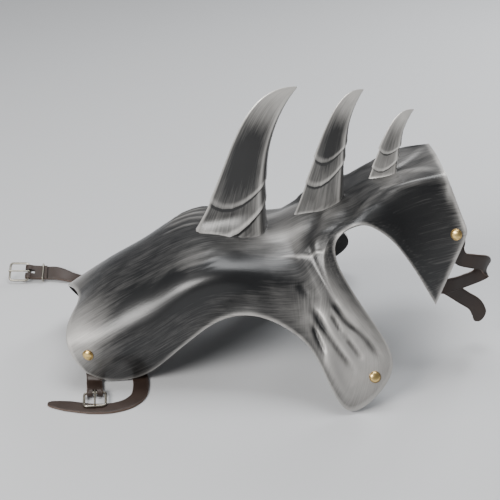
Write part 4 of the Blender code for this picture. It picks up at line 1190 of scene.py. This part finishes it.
def open_slot(strap, frame_at):
    """Cut the prong's slot through the fold."""
    reach = FOLD_RADIUS + STRAP_THICKNESS
    bpy.ops.mesh.primitive_cube_add(size=1.0)
    box = bpy.context.object
    centred = Matrix.Translation(Vector(CENTRE)) @ frame_at
    box.matrix_world = centred @ Matrix.Diagonal((3.0 * reach, PRONG_SLOT, 2.4 * reach, 1.0))
    bpy.context.view_layer.update()
    cut = strap.modifiers.new("slot", "BOOLEAN")
    cut.operation = "DIFFERENCE"
    cut.solver = "EXACT"
    cut.object = box
    activate(strap)
    bpy.ops.object.modifier_apply(modifier=cut.name)
    bpy.data.objects.remove(box, do_unlink=True)


print("fold of a strap round its bar:", round(1000 * FOLD_RETURN), "mm back")


# %% [markdown]
# ## Laying the straps
#
# The near nose strap leaves under the lobe, lies flat in a curve and ends in a point under the
# buckle. The short tab carries that buckle. They stay as they lie in the picture.
# %% Near nose straps and their buckle
down = Vector((0.0, 0.0, -1.0))
backwards = Vector((1.0, 0.0, -0.35))

tab_keys = strap_keys(NOSE_TAB_KEYS, NOSE_RIVET, False, 0, down)
tab_bar = tab_keys[-1][0] + Vector((0.0, -0.55 * STRAP_WIDTH, FOLD_RADIUS))
tab_frame = bar_frame(tab_bar, Vector((0.0, -1.0, 0.0)), Vector((0.0, 0.0, 1.0)))
tab = sweep_strap("nose_tab", tab_keys + fold_keys(tab_frame, (0.25 * STRAP_WIDTH,))[:-2], False)
open_slot(tab, tab_frame)
make_buckle("tab_buckle", tab_frame, NEAR_BUCKLE_TILT)

sweep_strap("nose_billet", strap_keys(NOSE_BILLET_KEYS, NOSE_RIVET, False, 1, backwards), True)
print("near nose straps: 2")

# %% [markdown]
# ## The far nose strap
#
# Its buckle leans on the floor on one of its long sides. The height of its rear bar follows from
# that lean, and the keeper sits a little way up the fold.
# %% Far nose strap, its buckle and keeper
far_keys = strap_keys(NOSE_STRAP_FAR_KEYS, NOSE_RIVET, True, 0, backwards)
far_rivet, _ = on_shell(*NOSE_RIVET, True)
roll = math.radians(FAR_BUCKLE_ROLL)
lift = (BUCKLE_HALF_WIDTH + WIRE_RADIUS) * math.sin(roll)
lift += (FOLD_RADIUS + STRAP_THICKNESS / 2.0) * math.cos(roll)
far_bar = Vector((far_rivet.x + FAR_BUCKLE_PLACE[0] * STRAP_WIDTH,
                  far_rivet.y + FAR_BUCKLE_PLACE[1] * STRAP_WIDTH, lift))
far_frame = bar_frame(far_bar, Vector((-1.0, 0.12, 0.0)), Vector((0.0, -math.sin(roll), math.cos(roll))))
far_keys += fold_keys(far_frame, (1.8 * KEEPER_PLACE, 1.45 * KEEPER_PLACE))
far_strap = sweep_strap("nose_strap_far", far_keys, False)
open_slot(far_strap, far_frame)
make_buckle("far_buckle", far_frame, 0.0)
keeper_half_width = STRAP_WIDTH / 2.0 + 2.0 * CLEARANCE + KEEPER_RADIUS
keeper_half_height = STRAP_THICKNESS + 2.5 * CLEARANCE + KEEPER_RADIUS
keeper_middle = -FOLD_RADIUS + STRAP_THICKNESS / 2.0 + 0.75 * CLEARANCE
wire("far_keeper", [far_frame @ Vector((-KEEPER_PLACE, p.y, keeper_middle + p.x))
                    for p in rounded_ring(keeper_half_height, keeper_half_width, KEEPER_CORNER)],
     KEEPER_RADIUS, True)
print("keeper:", round(2000 * keeper_half_height, 1), "by", round(2000 * keeper_half_width, 1), "mm")

# %% [markdown]
# ## The rear straps
#
# Both hang from the rear rivets. The near one makes a loop and ends in a free tail, and the far one
# hangs straight down behind the shell.
# %% Rear straps made
rear_down = Vector((0.1, 0.0, -1.0))
for name, table, far in (("rear_strap_near", REAR_STRAP_NEAR_KEYS, False),
                         ("rear_strap_far", REAR_STRAP_FAR_KEYS, True)):
    sweep_strap(name, strap_keys(table, REAR_RIVET, far, 0, rear_down, from_floor=False), True)
print("rear straps: 2")

# %% [markdown]
# ## Floor and light
#
# A plain pale floor and soft lamps, as in a small studio: a broad lamp from the front left draws the
# bright bands over the nose and the cheek, one above fills the top, and one from behind lights the
# horns' edges.
# %% Floor, lamps and world
bpy.ops.mesh.primitive_plane_add(size=24.0)
floor = bpy.context.object
floor.name = "studio_floor"
floor_finish, n, floor_shader = new_finish("studio_floor")
n.fill(floor_shader, {"Base Color": (0.56, 0.565, 0.575, 1.0), "Roughness": 0.55})
floor.data.materials.append(floor_finish)


def lamp(name, place, aim, size, power, colour=(1.0, 1.0, 1.0)):
    light = bpy.data.lights.new(name, "AREA")
    light.shape = "RECTANGLE"
    light.size = size[0]
    light.size_y = size[1]
    light.energy = power
    light.color = colour
    thing = bpy.data.objects.new(name, light)
    bpy.context.scene.collection.objects.link(thing)
    thing.location = place
    thing.rotation_mode = "QUATERNION"
    thing.rotation_quaternion = (Vector(aim) - Vector(place)).to_track_quat("-Z", "Y")


lamp("key_lamp", (-1.25, -1.10, 1.20), (0.0, -0.05, 0.10), (0.9, 0.7), 46.0, (1.0, 0.985, 0.96))
lamp("top_lamp", (0.15, 0.35, 1.70), (0.05, 0.0, 0.10), (1.2, 0.9), 26.0, (0.97, 0.985, 1.0))
lamp("back_lamp", (1.10, 1.20, 0.90), (0.05, 0.0, 0.15), (0.6, 0.8), 18.0, (0.96, 0.98, 1.0))
world = bpy.data.worlds.new("studio")
world.use_nodes = True
sky = world.node_tree.nodes["Background"]
sky.inputs["Color"].default_value = (0.62, 0.63, 0.65, 1.0)
sky.inputs["Strength"].default_value = 0.34
bpy.context.scene.world = world

# %% [markdown]
# ## Camera
#
# The camera looks down from the near side, a little from the nose, as in the picture.
# %% Camera placed
CAMERA_DOWN = math.radians(28.0)
CAMERA_TURN = math.radians(6.0)
CAMERA_AWAY = 1.5
FOCAL_PIXELS = 1300.0
PICTURE_PIXELS = 500.0
SENSOR = 36.0
AIM = Vector((0.25, 0.0, 0.14))
AIM_OFF_CENTRE = (12.0, -15.0)   # pixels right of and below the middle

right = Vector((math.cos(CAMERA_TURN), -math.sin(CAMERA_TURN), 0.0))
level = math.cos(CAMERA_DOWN)
ahead = Vector((math.sin(CAMERA_TURN) * level, math.cos(CAMERA_TURN) * level, -math.sin(CAMERA_DOWN)))
upwards = right.cross(ahead)
ray = ahead + right * (AIM_OFF_CENTRE[0] / FOCAL_PIXELS) - upwards * (AIM_OFF_CENTRE[1] / FOCAL_PIXELS)
camera_data = bpy.data.cameras.new("camera")
camera_data.sensor_width = SENSOR
camera_data.lens = SENSOR * FOCAL_PIXELS / PICTURE_PIXELS
camera = bpy.data.objects.new("camera", camera_data)
bpy.context.scene.collection.objects.link(camera)
turn_matrix = Matrix((right, upwards, -ahead)).transposed().to_4x4()
turn_matrix.translation = AIM - ray * CAMERA_AWAY + Vector(CENTRE)
camera.matrix_world = turn_matrix
bpy.context.scene.camera = camera
print("camera at", [round(v, 3) for v in turn_matrix.translation])
